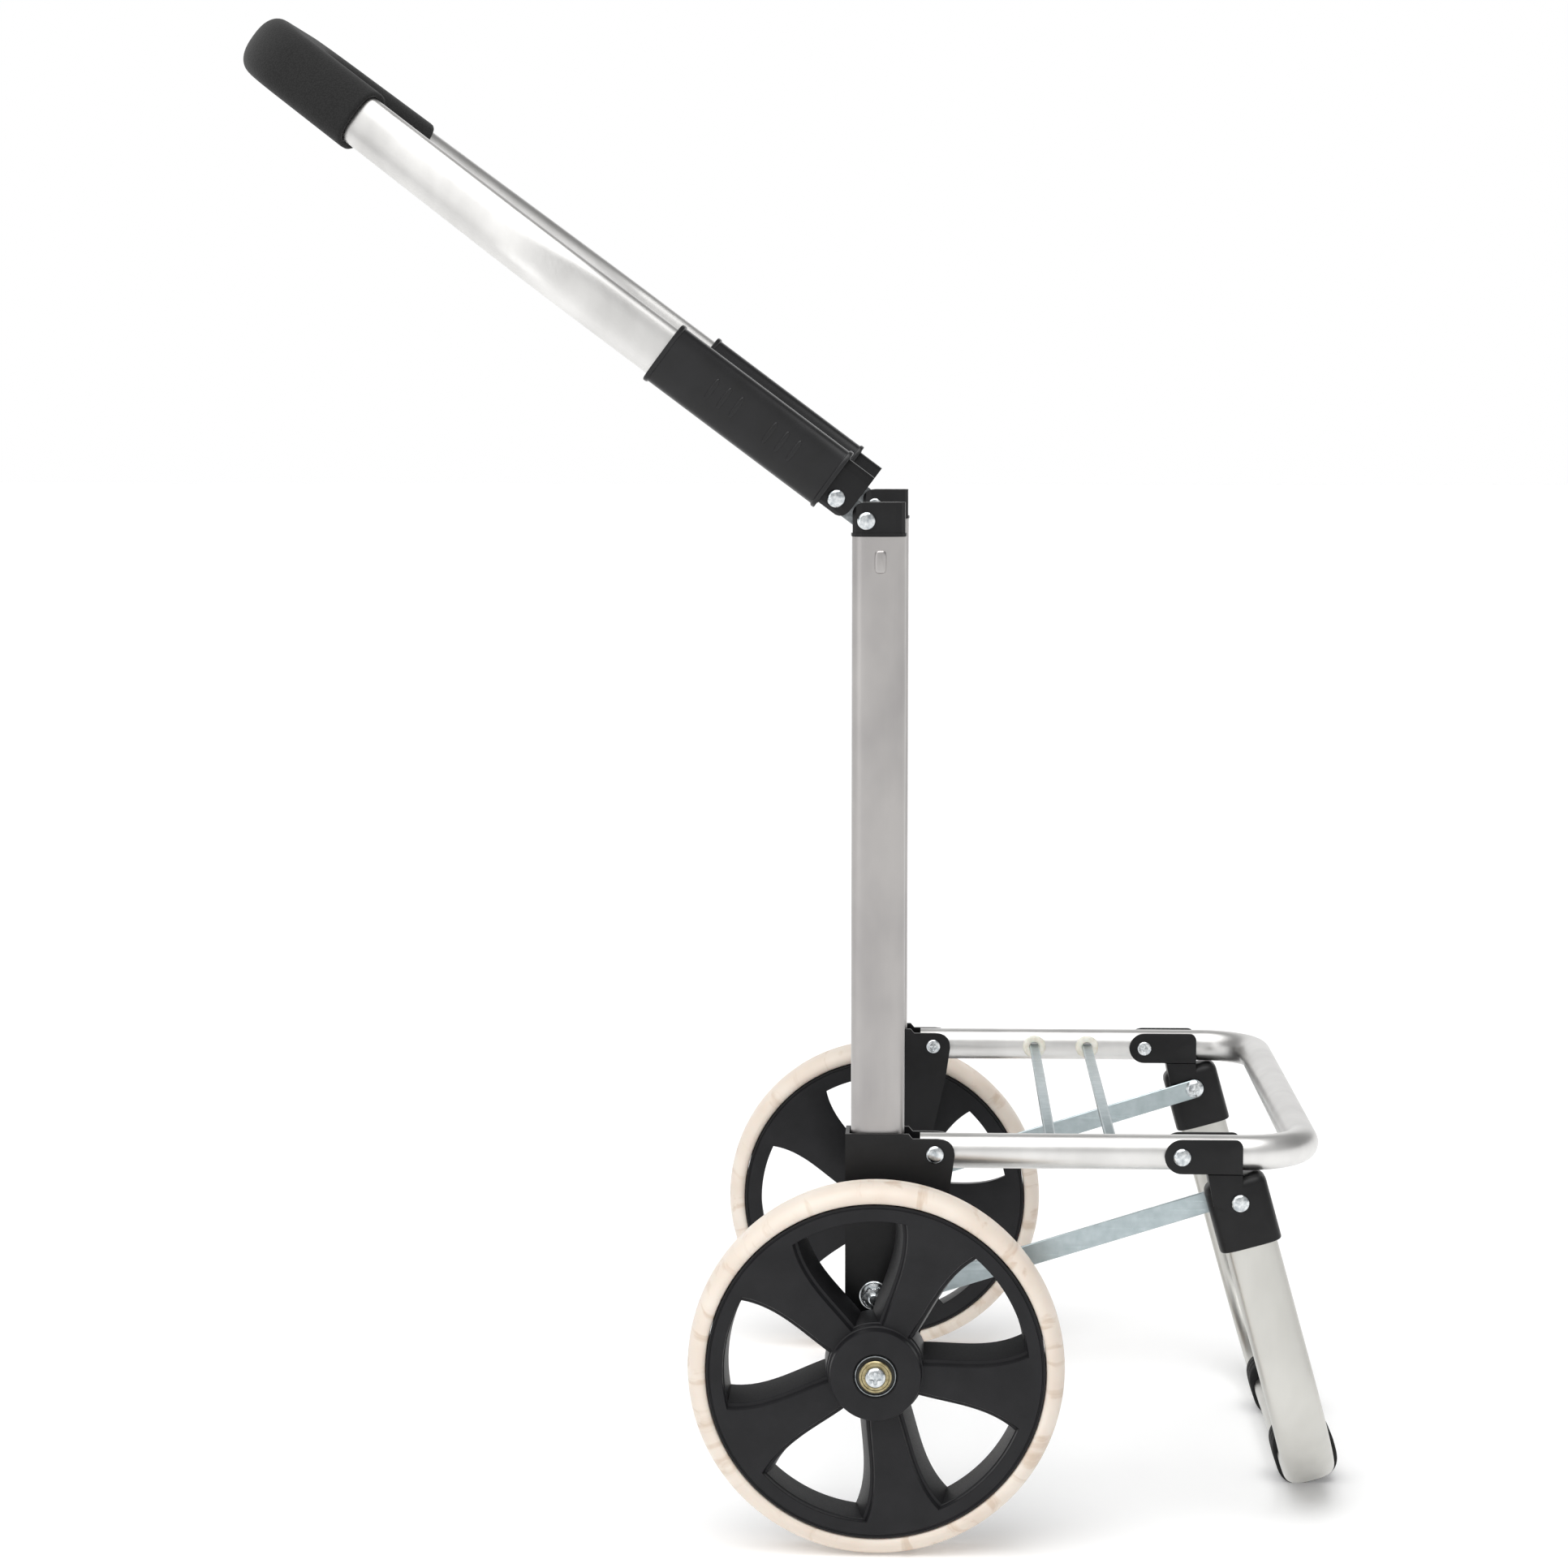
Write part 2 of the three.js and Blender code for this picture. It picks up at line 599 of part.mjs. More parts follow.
function legTubeGeometry() {
  const corners = [[-sideOffset, socket.top - 2], [-sideOffset, -legLength], [sideOffset, -legLength],
    [sideOffset, socket.top - 2]].map(([y, z]) => new THREE.Vector3(0, y, z));
  const section = hollowOval(tube.thick, tube.wide, tube.wall);
  const bow = swept(section, bentLine(corners, [legBend, legBend], new THREE.Vector3(1, 0, 0)));
  return cut(bow, pin(rivet.radius + fit, 500));
}

// Socket round the tube with a neck and two cheeks that straddle the rail, drawn in the truck's own axes
function cheekShape() {
  const top = legPivot.z + 9.4;
  const under = legPivot.z - 9.4;
  const [neckBack, neckFront] = [legPivot.x + leg.neckBack, legPivot.x + leg.neckFront];
  const shape = new THREE.Shape();
  shape.absarc(legPivot.x, legPivot.z, 9.4, 1.5 * Math.PI, 0.5 * Math.PI, true);
  shape.lineTo(neckFront - 4, top);
  shape.quadraticCurveTo(neckFront, top, neckFront, top - 4);
  shape.lineTo(neckFront, strutEnd.z + 6);
  shape.lineTo(neckBack + 3, strutEnd.z - 2);
  shape.lineTo(neckBack, under);
  shape.closePath();
  return shape;
}

function legBracketGeometry() {
  const [wide, thick] = [tube.wide + 2 * (fit + socket.wall), bracketWidth];
  const collar = prism(oval(wide, thick, outsideSides, boxyPower), -socket.bottom, socket.top)
    .rotateY(-lean)
    .translate(strutEnd.x, 0, strutEnd.z);
  const hollow = oval(tube.wide + 2 * fit, tube.thick + 2 * fit);
  const bore = prism(hollow, -socket.bottom - 5, socket.top - 2 + fit)
    .rotateY(-lean)
    .translate(strutEnd.x, 0, strutEnd.z);
  const slotHeight = rail.diameter + 2 * fit + 3;
  const slotFloor = railAxis - rail.diameter / 2 - fit;
  const railSlot = block(160, channel, slotHeight, legPivot.x + 20, 0, slotFloor + slotHeight / 2);
  const gapEnd = legPivot.x + leg.neckBack - fit;
  const cheekGap = block(60, channel, 60, gapEnd - 30, 0, legPivot.z);
  const holes = [legPivot, strutEnd].map((at) => pin(rivet.radius + fit, 60, at.x, 0, at.z));
  return cut(join(collar, plate(cheekShape(), bracketWidth)), bore, railSlot, cheekGap, ...holes);
}

function footGeometry(sign) {
  const shoeOuter = oval(tube.wide + 2 * foot.wall, tube.thick + 2 * foot.sole, 16);
  const bore = oval(tube.wide + 2 * fit, tube.thick + 2 * fit);
  const along = (shape, length) => new THREE.ExtrudeGeometry(shape, { depth: length, bevelEnabled: false })
    .translate(0, 0, -length / 2)
    .rotateX(Math.PI / 2);
  const crossbar = new THREE.Vector3(0, 0, -legLength).applyAxisAngle(new THREE.Vector3(0, 1, 0), -lean);
  const [x, z] = [strutEnd.x + crossbar.x, strutEnd.z + crossbar.z];
  const place = (geometry) => geometry.rotateY(-lean).translate(x, sign * foot.offset, z);
  const shoe = place(along(shoeOuter, foot.width));
  const hole = place(along(bore, foot.width + 10));
  const ground = block(80, 80, 40, x, sign * foot.offset, -20);
  return cut(shoe, hole, ground);
}

function addLeg() {
  const stand = group(truck, strutEnd.x, 0, strutEnd.z);
  stand.rotation.y = -lean;
  part('leg_bow', legTubeGeometry(), anodised(), stand);
  for (const [side, sign] of sides) {
    const bracket = part(`leg_bracket_${side}`, legBracketGeometry(), nylon(), truck);
    bracket.position.y = sign * sideOffset;
    part(`rubber_foot_${side}`, footGeometry(sign), blackRubber(), truck);
    const bolt = part(`leg_socket_rivet_${side}`, socketRivetGeometry(sign), zincPlate(), truck);
    bolt.position.set(strutEnd.x, sign * sideOffset, strutEnd.z);
  }
}

// Domed outside, flush inside, so the strut can pass over its end
function socketRivetGeometry(sign) {
  const half = bracketWidth / 2;
  return turned([
    [0, -half], [rivet.radius, -half], [rivet.radius, half + fit], [rivet.headRadius, half + fit],
    [rivet.headRadius * 0.82, half + fit + rivet.headHeight * 0.62],
    [rivet.headRadius * 0.45, half + fit + rivet.headHeight * 0.93], [0, half + fit + rivet.headHeight],
  ].map(([r, y]) => [r, y * sign]), 12);
}

// ---------------------------------------------------------------- fold links and handle
const tilt = radians(foldAngle);
const upperHinge = {
  x: lowerHinge.x - link.pitch * Math.sin(tilt),
  z: lowerHinge.z + link.pitch * Math.cos(tilt),
};

function linkGeometry() {
  const [from, to] = [new THREE.Vector2(0, 0), new THREE.Vector2(0, link.pitch)];
  const holes = [from, to].map((at) => pin(rivet.radius + fit, 20, at.x, 0, at.y));
  return cut(plate(stadium(from, to, link.radius), link.thickness), ...holes);
}

const tubeStart = hinge.height + fit;

// Corners of the handle's centreline, from one leg round to the other: straight, then leaning inward
function handleCorners(start) {
  const slope = (sideOffset - handle.gripSide) / (handle.gripStart - handle.straight);
  const corner = (z) => [sideOffset - slope * Math.max(0, z - handle.straight), z];
  const heights = [start, handle.straight, handle.end].filter((z, i) => i === 0 || z > start);
  const half = heights.map(corner);
  const mirrored = half.map(([y, z]) => [-y, z]).reverse();
  return [...half, ...mirrored].map(([y, z]) => new THREE.Vector3(0, y, z));
}

function handleTubeGeometry() {
  const bends = [handle.ease, handle.bend, handle.bend, handle.ease];
  const section = hollowOval(tube.thick, tube.wide, handle.wall);
  return swept(section, bentLine(handleCorners(tubeStart), bends, new THREE.Vector3(1, 0, 0)));
}

function foamGeometry() {
  const grown = (margin) => [tube.thick + 2 * margin, tube.wide + 2 * margin];
  const shape = oval(...grown(foam.thickness), outsideSides, foam.power);
  shape.holes.push(new THREE.Path(ovalPoints(...grown(fit), outsideSides, tubePower)));
  const bends = [handle.bend, handle.bend];
  return swept(shape, bentLine(handleCorners(handle.gripStart), bends, new THREE.Vector3(1, 0, 0)));
}

function sleeveGeometry() {
  const section = (size) => oval(...size, outsideSides, boxyPower);
  const clear = 2 * (sleeve.play + fork.lip);
  const inside = [tube.wide + clear, tube.thick + clear];
  const outside = inside.map((size) => size + 2 * sleeve.wall);
  const lipped = outside.map((size) => size + 2 * sleeve.flange);
  const body = prism(section(outside), 0, sleeve.length);
  const flanges = [0, sleeve.length - sleeve.flangeHeight]
    .map((z) => prism(section(lipped), z, z + sleeve.flangeHeight));
  return cut(join(body, ...flanges), prism(section(inside), -1, sleeve.length + 1));
}

function addHandle() {
  const links = group(truck, lowerHinge.x, 0, lowerHinge.z);
  links.rotation.y = -tilt;
  const grip = group(truck, upperHinge.x, 0, upperHinge.z);
  grip.rotation.y = -tilt;
  const bow = group(grip, hinge.offset, 0, 0);
  part('handle_bow', handleTubeGeometry(), anodised(), bow);
  part('foam_grip', foamGeometry(), foamRubber(), bow);
  for (const [side, sign] of sides) {
    const bar = part(`fold_link_${side}`, linkGeometry(), greySteel(), links);
    bar.position.y = sign * sideOffset;
    const cap = part(`handle_fork_${side}`, forkGeometry(), nylon(), bow);
    cap.position.set(0, sign * sideOffset, hinge.height);
    cap.rotation.x = Math.PI;
    const swivel = part(`handle_hinge_rivet_${side}`, rivetGeometry(tube.thick, sign), zincPlate(), grip);
    swivel.position.y = sign * sideOffset;
    const collar = part(`lock_sleeve_${side}`, sleeveGeometry(), nylon(), bow);
    collar.position.set(0, sign * sideOffset, sleeve.start);
  }
}

// ---------------------------------------------------------------- assembly
for (const [side, sign] of sides) {
  addWheel(side, sign);
  addUpright(side, sign);
  addStrut(side, sign);
}
addAxle();
addPlatform();
addLeg();
addHandle();

// The origin is at the middle of the truck's footprint, on the ground
const bounds = new THREE.Box3().setFromObject(truck, true);
truck.position.set(-(bounds.min.x + bounds.max.x) / 2, -(bounds.min.y + bounds.max.y) / 2, -bounds.min.z);
truck.updateMatrixWorld(true);

export default truck;
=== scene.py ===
# %% [markdown]
# # A folding hand truck
# Two upright aluminium tubes stand on a wheeled axle. A round rail folds down in front of them as
# the load platform, a bent leg props it, and a bow handle folds back over a pair of double hinges.
# The CAD model fixes every size and every pivot. The cells below dress it: each visible part gets
# a finer mesh and the finish of the real stuff it is made from, and rides on its own CAD body.

# %% Load the frame
import math

import bmesh
import bpy
from mathutils import Matrix, Vector


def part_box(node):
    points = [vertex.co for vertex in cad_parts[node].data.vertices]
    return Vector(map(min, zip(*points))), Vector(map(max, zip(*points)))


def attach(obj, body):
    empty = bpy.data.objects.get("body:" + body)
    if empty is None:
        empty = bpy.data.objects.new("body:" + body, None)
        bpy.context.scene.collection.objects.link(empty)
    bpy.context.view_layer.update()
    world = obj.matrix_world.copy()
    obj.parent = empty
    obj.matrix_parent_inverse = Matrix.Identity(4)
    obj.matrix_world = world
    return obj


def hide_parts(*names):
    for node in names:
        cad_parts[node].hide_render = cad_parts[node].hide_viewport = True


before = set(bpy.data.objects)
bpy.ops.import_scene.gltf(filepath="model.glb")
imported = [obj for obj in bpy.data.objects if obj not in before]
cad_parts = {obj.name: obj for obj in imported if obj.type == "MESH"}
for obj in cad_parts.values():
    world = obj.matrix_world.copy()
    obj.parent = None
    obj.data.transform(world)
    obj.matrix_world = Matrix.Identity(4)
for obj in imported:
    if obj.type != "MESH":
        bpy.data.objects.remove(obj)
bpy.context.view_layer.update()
scene = bpy.context.scene

# %% [markdown]
# ## Where things are
# Sizes below are in millimetres, measured from the axle: x forward, y left, z up from the ground.
# One function turns them into the frame's metres. The pivots come from the CAD rivets themselves.

# %% Places
MM = 0.001
SIDES = (("left", 1), ("right", -1))


def middle(node):
    low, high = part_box(node)
    return (low + high) / 2


AXLE_X = middle("axle").x / MM


def pivot(node):
    spot = middle(node) / MM
    return Vector((spot.x - AXLE_X, 0, spot.z))


AXLE = pivot("axle")
PLATFORM_PIVOT = pivot("platform_rivet_left")
LEG_PIVOT = pivot("leg_rivet_left")
SOCKET_PIVOT = pivot("leg_socket_rivet_left")
STRUT_PIVOT = pivot("strut_stud_left")
TUBE_BOLT = pivot("bracket_bolt_left")
LOWER_HINGE = pivot("mast_hinge_rivet_left")
UPPER_HINGE = pivot("handle_hinge_rivet_left")
MAST_Y = middle("mast_fork_left").y / MM
WHEEL_Y = middle("tyre_left").y / MM
MAST_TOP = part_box("mast_tube_left")[1].z / MM
MAST_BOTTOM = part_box("mast_tube_left")[0].z / MM
BRACKET = [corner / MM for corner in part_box("frame_bracket_left")]
BRACKET_HALF = (BRACKET[1].y - BRACKET[0].y) / 2
fold = UPPER_HINGE - LOWER_HINGE
TILT = math.atan2(-fold.x, fold.z)
LEAN = math.radians(15.5)
print(f"handle leans back {math.degrees(TILT):.1f} degrees; mast tubes {2 * MAST_Y:.0f} mm apart")

# %% [markdown]
# ## Building in code
# A tube, a bush and a wheel are all the same idea: rings of points joined by strips of faces. A
# modifier such as Screw or a bevelled curve could make them too, but plain rings keep exact sizes
# and allow rounded lips at the ends, so one small loft function serves nearly every part.

# %% Mesh helpers
def place(points, matrix=None):
    """Points in millimetres from the axle, as vectors in the frame's metres"""
    shift = Matrix.Translation(Vector((AXLE_X, 0, 0)))
    whole = shift @ matrix if matrix else shift
    return [(whole @ Vector(point)) * MM for point in points]


def piece(name, rings, material, body, nodes=(), matrix=None, caps=True, smooth=38):
    """Rings joined in order into one shell, closed at both ends when caps is set"""
    bm = bmesh.new()
    made = [[bm.verts.new(point) for point in place(ring, matrix)] for ring in rings]
    for first, second in zip(made, made[1:]):
        count = len(first)
        for i in range(count):
            bm.faces.new((first[i], first[(i + 1) % count], second[(i + 1) % count], second[i]))
    if caps:
        bm.faces.new(list(reversed(made[0])))
        bm.faces.new(made[-1])
    return finish_mesh(bm, name, material, body, nodes, smooth)


def finish_mesh(bm, name, material, body, nodes, smooth=38):
    bmesh.ops.remove_doubles(bm, verts=bm.verts, dist=1e-7)
    bmesh.ops.recalc_face_normals(bm, faces=bm.faces)
    data = bpy.data.meshes.new(name)
    bm.to_mesh(data)
    bm.free()
    data.polygons.foreach_set("use_smooth", [True] * len(data.polygons))
    data.set_sharp_from_angle(angle=math.radians(smooth))
    data.materials.append(material)
    made = bpy.data.objects.new(name, data)
    scene.collection.objects.link(made)
    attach(made, body)
    if nodes:
        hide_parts(*nodes)
    return made


def oval(wide, thick, power=3, count=56):
    """Flat-oval section: a superellipse, with flatter faces as the power grows"""
    points = []
    for i in range(count):
        c, s = math.cos(2 * math.pi * i / count), math.sin(2 * math.pi * i / count)
        points.append((math.copysign(abs(c) ** (2 / power), c) * wide / 2,
                       math.copysign(abs(s) ** (2 / power), s) * thick / 2))
    return points


def bent(corners, radii, step=math.radians(4)):
    """Points and directions along a tube bent at each inner corner"""
    corners = [Vector(corner) for corner in corners]
    line = [(corners[0], (corners[1] - corners[0]).normalized())]
    for before, corner, after, radius in zip(corners, corners[1:], corners[2:], radii):
        entry, leave = (corner - before).normalized(), (after - corner).normalized()
        axis = entry.cross(leave).normalized()
        turn = entry.angle(leave)
        centre = corner - entry * radius * math.tan(turn / 2) + axis.cross(entry) * radius
        steps = max(3, round(turn / step))
        for i in range(steps + 1):
            way = Matrix.Rotation(turn * i / steps, 3, axis) @ entry
            line.append((centre - axis.cross(way) * radius, way))
    line.append((corners[-1], (corners[-1] - corners[-2]).normalized()))
    return line


def along(line, sections, across):
    """One ring per point of the line; each section is drawn square to it"""
    across = Vector(across)
    rings = []
    for (point, way), section in zip(line, sections):
        inward = across.cross(way)
        rings.append([point + inward * a + across * b for a, b in section])
    return rings


def turned(profile, centre, sign=1, sides=64):
    """Rings about the y axis, from (radius, distance) pairs measured outward from the centre"""
    rings = []
    for radius, out in profile:
        reach = max(radius, 0.02)
        rings.append([(centre[0] + reach * math.cos(2 * math.pi * i / sides), centre[1] + sign * out,
                       centre[2] + reach * math.sin(2 * math.pi * i / sides)) for i in range(sides)])
    return rings


print("helpers ready")

# %% [markdown]
# ## Colours and nodes
# Colours are written as sRGB hex, the way a colour chart gives them, and one function turns them
# to the linear values that a shader needs. One more function adds a node and links its inputs.

# %% Material helpers
def linear(hex_colour):
    channels = [int(hex_colour[i:i + 2], 16) / 255 for i in (1, 3, 5)]
    return [c / 12.92 if c <= 0.04045 else ((c + 0.055) / 1.055) ** 2.4 for c in channels] + [1.0]


def add(tree, kind, links=None, **settings):
    """A node with its settings; links maps an input to a socket, a value or a hex colour"""
    made = tree.nodes.new(kind)
    for key, value in settings.items():
        setattr(made, key, value)
    for key, value in (links or {}).items():
        if isinstance(value, bpy.types.NodeSocket):
            tree.links.new(value, made.inputs[key])
        elif isinstance(value, str):
            made.inputs[key].default_value = linear(value)
        else:
            made.inputs[key].default_value = value
    return made


def start(name, **constants):
    """An empty material: its tree, its surface shader, and coordinates in the frame's metres"""
    made = bpy.data.materials.new(name)
    made.use_nodes = True
    tree = made.node_tree
    tree.nodes.clear()
    surface = add(tree, "ShaderNodeBsdfPrincipled", constants)
    output = add(tree, "ShaderNodeOutputMaterial")
    tree.links.new(surface.outputs["BSDF"], output.inputs["Surface"])
    where = add(tree, "ShaderNodeTexCoord").outputs["Object"]
    return made, tree, surface, where


def grain(tree, where, size_mm, stretch=(1, 1, 1), turn=(0, 0, 0), detail=3.0, roughness=0.55):
    """Noise whose features are about size_mm across, drawn out along one axis by stretch"""
    mapped = add(tree, "ShaderNodeMapping", {"Vector": where, "Rotation": turn,
                 "Scale": [1000 / size_mm / s for s in stretch]})
    noise = add(tree, "ShaderNodeTexNoise", {"Vector": mapped.outputs["Vector"], "Scale": 1.0,
                "Detail": detail, "Roughness": roughness})
    return noise.outputs["Fac"]


def shade(tree, share, low, high, span=(0.35, 0.65)):
    """A colour between low and high, as share goes across its span"""
    ramp = add(tree, "ShaderNodeValToRGB", {"Fac": share})
    for stop, position, colour in zip(ramp.color_ramp.elements, span, (low, high)):
        stop.position = position
        stop.color = linear(colour)
    return ramp.outputs["Color"]


def spread(tree, share, low, high):
    """share turned to a number from low to high"""
    limits = {"Value": share, "From Min": 0.3, "From Max": 0.7, "To Min": low, "To Max": high}
    return add(tree, "ShaderNodeMapRange", limits).outputs["Result"]


def relief(tree, surface, share, height_mm):
    """Bumps of a given height from a 0 to 1 pattern"""
    links = {"Height": share, "Distance": height_mm * MM, "Strength": 1.0}
    bump = add(tree, "ShaderNodeBump", links)
    tree.links.new(bump.outputs["Normal"], surface.inputs["Normal"])


print("node helpers ready")

# %% [markdown]
# ## Anodised aluminium
# The tubes are drawn aluminium, etched and clear anodised: a satin grey that spreads highlights
# wide, with faint lines along the tube from the drawing die. Real die lines are a few hundredths
# of a millimetre apart; these are drawn about half a millimetre apart so that they show at all.
# Each tube has its own direction, so the finish is made once per direction. The uprights' copy is
# a darker grey: painted shade, for the less light that the uprights catch.

# %% Anodised aluminium
def drawn_anodised_aluminium(name, turn=(0, 0, 0), bright="#E4E3E1", dull="#D3D2D0"):
    made, tree, surface, where = start(name, Metallic=1.0)
    lines = grain(tree, where, 0.5, (1, 1, 90), turn)
    cloud = grain(tree, where, 35, (1, 1, 2), turn)
    tree.links.new(shade(tree, cloud, dull, bright), surface.inputs["Base Color"])
    tree.links.new(spread(tree, lines, 0.30, 0.40), surface.inputs["Roughness"])
    relief(tree, surface, lines, 0.004)
    return made


# Darker colours on the uprights: painted shade, the same aluminium made dimmer for how light falls on them.
UPRIGHT_ALUMINIUM_PAINTED_SHADE = drawn_anodised_aluminium("anodised_aluminium_upright_painted_shade", dull="#A8A5A4",
                                             bright="#B6B3B1")
HANDLE_ALUMINIUM = drawn_anodised_aluminium("anodised_aluminium_handle", (0, TILT, 0))
LEG_ALUMINIUM = drawn_anodised_aluminium("anodised_aluminium_leg", (0, LEAN, 0), "#CECDC8", "#C2C1BC")
RAIL_ALUMINIUM = drawn_anodised_aluminium("anodised_aluminium_rail", (0, math.pi / 2, 0))
print("aluminium in four directions")

# %% [markdown]
# ## Zinc plate
# Rivets, bolts and bearings are steel barrel-plated with bright zinc: a sharp cool reflection that
# mottles a little. The flat struts and cross bars are plated strip, duller and bluer, with streaks
# along the strip. The hub washers are zinc passivated yellow, which shifts from gold to pink.

# %% Zinc finishes
def bright_zinc_plate():
    made, tree, surface, where = start("bright_zinc_plated_steel", Metallic=1.0)
    mottle = grain(tree, where, 2.5)
    tree.links.new(shade(tree, mottle, "#AEB4B8", "#E6E9EA"), surface.inputs["Base Color"])
    tree.links.new(spread(tree, mottle, 0.14, 0.26), surface.inputs["Roughness"])
    relief(tree, surface, grain(tree, where, 0.7), 0.01)
    return made


def zinc_plated_strip():
    made, tree, surface, where = start("zinc_plated_steel_strip", Metallic=1.0)
    streak = grain(tree, where, 1.2, (30, 1, 1), detail=5)
    spangle = grain(tree, where, 6)
    tree.links.new(shade(tree, spangle, "#A9B5B8", "#B8C3C6", (0.3, 0.7)), surface.inputs["Base Color"])
    tree.links.new(spread(tree, streak, 0.26, 0.42), surface.inputs["Roughness"])
    relief(tree, surface, streak, 0.01)
    return made


def yellow_passivated_zinc():
    made, tree, surface, where = start("yellow_passivated_zinc", Metallic=1.0)
    film = grain(tree, where, 3)
    tree.links.new(shade(tree, film, "#8C7F5C", "#B4A985"), surface.inputs["Base Color"])
    tree.links.new(spread(tree, film, 0.22, 0.36), surface.inputs["Roughness"])
    return made


def stamped_grey_steel():
    made, tree, surface, where = start("stamped_zinc_grey_steel", Metallic=1.0)
    mottle = grain(tree, where, 2)
    tree.links.new(shade(tree, mottle, "#6E7274", "#989C9E"), surface.inputs["Base Color"])
    tree.links.new(spread(tree, mottle, 0.3, 0.45), surface.inputs["Roughness"])
    relief(tree, surface, mottle, 0.01)
    return made


BRIGHT_ZINC = bright_zinc_plate()
ZINC_STRIP = zinc_plated_strip()
YELLOW_ZINC = yellow_passivated_zinc()
LINK_STEEL = stamped_grey_steel()
print("four plated finishes")

# %% [markdown]
# ## Black coatings and plastics
# The frame brackets are folded steel with black powder coat, whose melted grains leave an orange
# peel about a millimetre across. Caps, sleeves and leg brackets are moulded glass-filled nylon
# with the fine spark texture of the mould, and the wheel rims are duller moulded polypropylene.
# All are nearly black, so it is their gloss and relief that tell them apart.

# %% Black finishes
def black_finish(name, colours, gloss, grain_mm, height_mm, **constants):
    made, tree, surface, where = start(name, **{"Specular IOR Level": 0.25, **constants})
    cloud = grain(tree, where, 18)
    tree.links.new(shade(tree, cloud, *colours), surface.inputs["Base Color"])
    texture = grain(tree, where, grain_mm)
    tree.links.new(spread(tree, texture, *gloss), surface.inputs["Roughness"])
    relief(tree, surface, texture, height_mm)
    return made


POWDER_COAT = black_finish("black_powder_coated_steel", ("#161617", "#1C1C1D"), (0.30, 0.40), 1.1, 0.02)
CAP_NYLON = black_finish("moulded_glass_filled_nylon", ("#131314", "#19191A"), (0.32, 0.44), 0.6, 0.012)
SLEEVE_NYLON = black_finish("moulded_sleeve_nylon", ("#121213", "#18181A"), (0.28, 0.40), 0.7, 0.014,
                             **{"Specular IOR Level": 0.4})
RIM_PLASTIC = black_finish("moulded_polypropylene", ("#18181A", "#1E1E20"), (0.40, 0.52), 0.8, 0.012)
FOOT_RUBBER = black_finish("moulded_black_rubber", ("#151515", "#1E1E1E"), (0.65, 0.8), 1.2, 0.03)
SEAL_RUBBER = black_finish("bearing_seal_rubber", ("#2A2A28", "#3A3934"), (0.4, 0.5), 0.8, 0.01)
print("six black finishes")

# %% [markdown]
# ## Marbled tyre rubber
# The tyres are a cream thermoplastic rubber injected in one shot. Where the melt met itself it
# left tan flow marks that cross the tread and curl over the shoulders, a finger's width apart.
# The marks are noise read from the nearest point of the wheel's own circle, so they run across
# the ring all the way round without a seam, and a second noise bends them.

# %% Tyre rubber
def marbled_tyre_rubber():
    made, tree, surface, where = start("marbled_thermoplastic_rubber", **{"Subsurface Weight": 0.08,
        "Subsurface Scale": 0.004})

    def sums(operation, *values):
        links = dict(enumerate(values))
        return add(tree, "ShaderNodeVectorMath", links, operation=operation).outputs["Vector"]
    centred = sums("SUBTRACT", where, (AXLE_X * MM, 0, AXLE.z * MM))
    spoke = sums("NORMALIZE", sums("MULTIPLY", centred, (1, 0, 1)))
    on_circle = sums("MULTIPLY", spoke, (0.1, 0.1, 0.1))
    swirl = sums("MULTIPLY", (0.02, 0.02, 0.02), grain(tree, where, 30, detail=1))
    bent_at = sums("ADD", on_circle, swirl)
    marks = grain(tree, bent_at, 7, detail=4, roughness=0.5)
    patches = grain(tree, where, 28, detail=2)
    tint = shade(tree, patches, "#DDCFC1", "#E8DED2", (0.3, 0.7))
    thin = shade(tree, marks, "#D9C8B5", "#FFFFFF", (0.34, 0.46))
    mixed = add(tree, "ShaderNodeMix", {0: 0.5, 6: tint, 7: thin}, data_type="RGBA",
                blend_type="MULTIPLY")
    tree.links.new(mixed.outputs[2], surface.inputs["Base Color"])
    tree.links.new(spread(tree, marks, 0.38, 0.5), surface.inputs["Roughness"])
    relief(tree, surface, grain(tree, where, 1.5), 0.01)
    return made


TYRE_RUBBER = marbled_tyre_rubber()
print("tyre rubber")

# %% [markdown]
# ## Foam and natural nylon
# The grip is closed-cell foam rubber, skived from a block, with open bubbles under half a millimetre
# wide. They are drawn at 0.9 mm so that they show: a bump dents them and their hollows are painted
# darker, painted shade. The grommets are natural nylon, milky white and a little translucent, so
# light goes some way in before it comes back.

# %% Foam and grommet finishes
def closed_cell_foam():
    made, tree, surface, where = start("closed_cell_foam_rubber", **{"Roughness": 0.92,
        "Sheen Weight": 0.12, "Sheen Roughness": 0.5, "Specular IOR Level": 0.25})
    cells = add(tree, "ShaderNodeTexVoronoi", {"Vector": where, "Scale": 1100.0})
    pore_depth_and_painted_shade = cells.outputs["Distance"]
    # The pores are painted darker where their bump sinks: painted shade in the hollows of the foam.
    tree.links.new(shade(tree, pore_depth_and_painted_shade, "#262626", "#1A1A1A", (0.1, 0.7)), surface.inputs["Base Color"])
    dents = add(tree, "ShaderNodeMath", {0: 1.0, 1: pore_depth_and_painted_shade}, operation="SUBTRACT").outputs["Value"]
    relief(tree, surface, dents, 0.12)
    return made


def natural_nylon():
    made, tree, surface, where = start("natural_moulded_nylon", **{"Subsurface Weight": 0.12,
        "Subsurface Scale": 0.002, "IOR": 1.53})
    milk = grain(tree, where, 3)
    tree.links.new(shade(tree, milk, "#D8D5C6", "#E8E6DC"), surface.inputs["Base Color"])
    tree.links.new(spread(tree, milk, 0.32, 0.42), surface.inputs["Roughness"])
    return made


FOAM = closed_cell_foam()
WHITE_NYLON = natural_nylon()
print("foam and nylon")

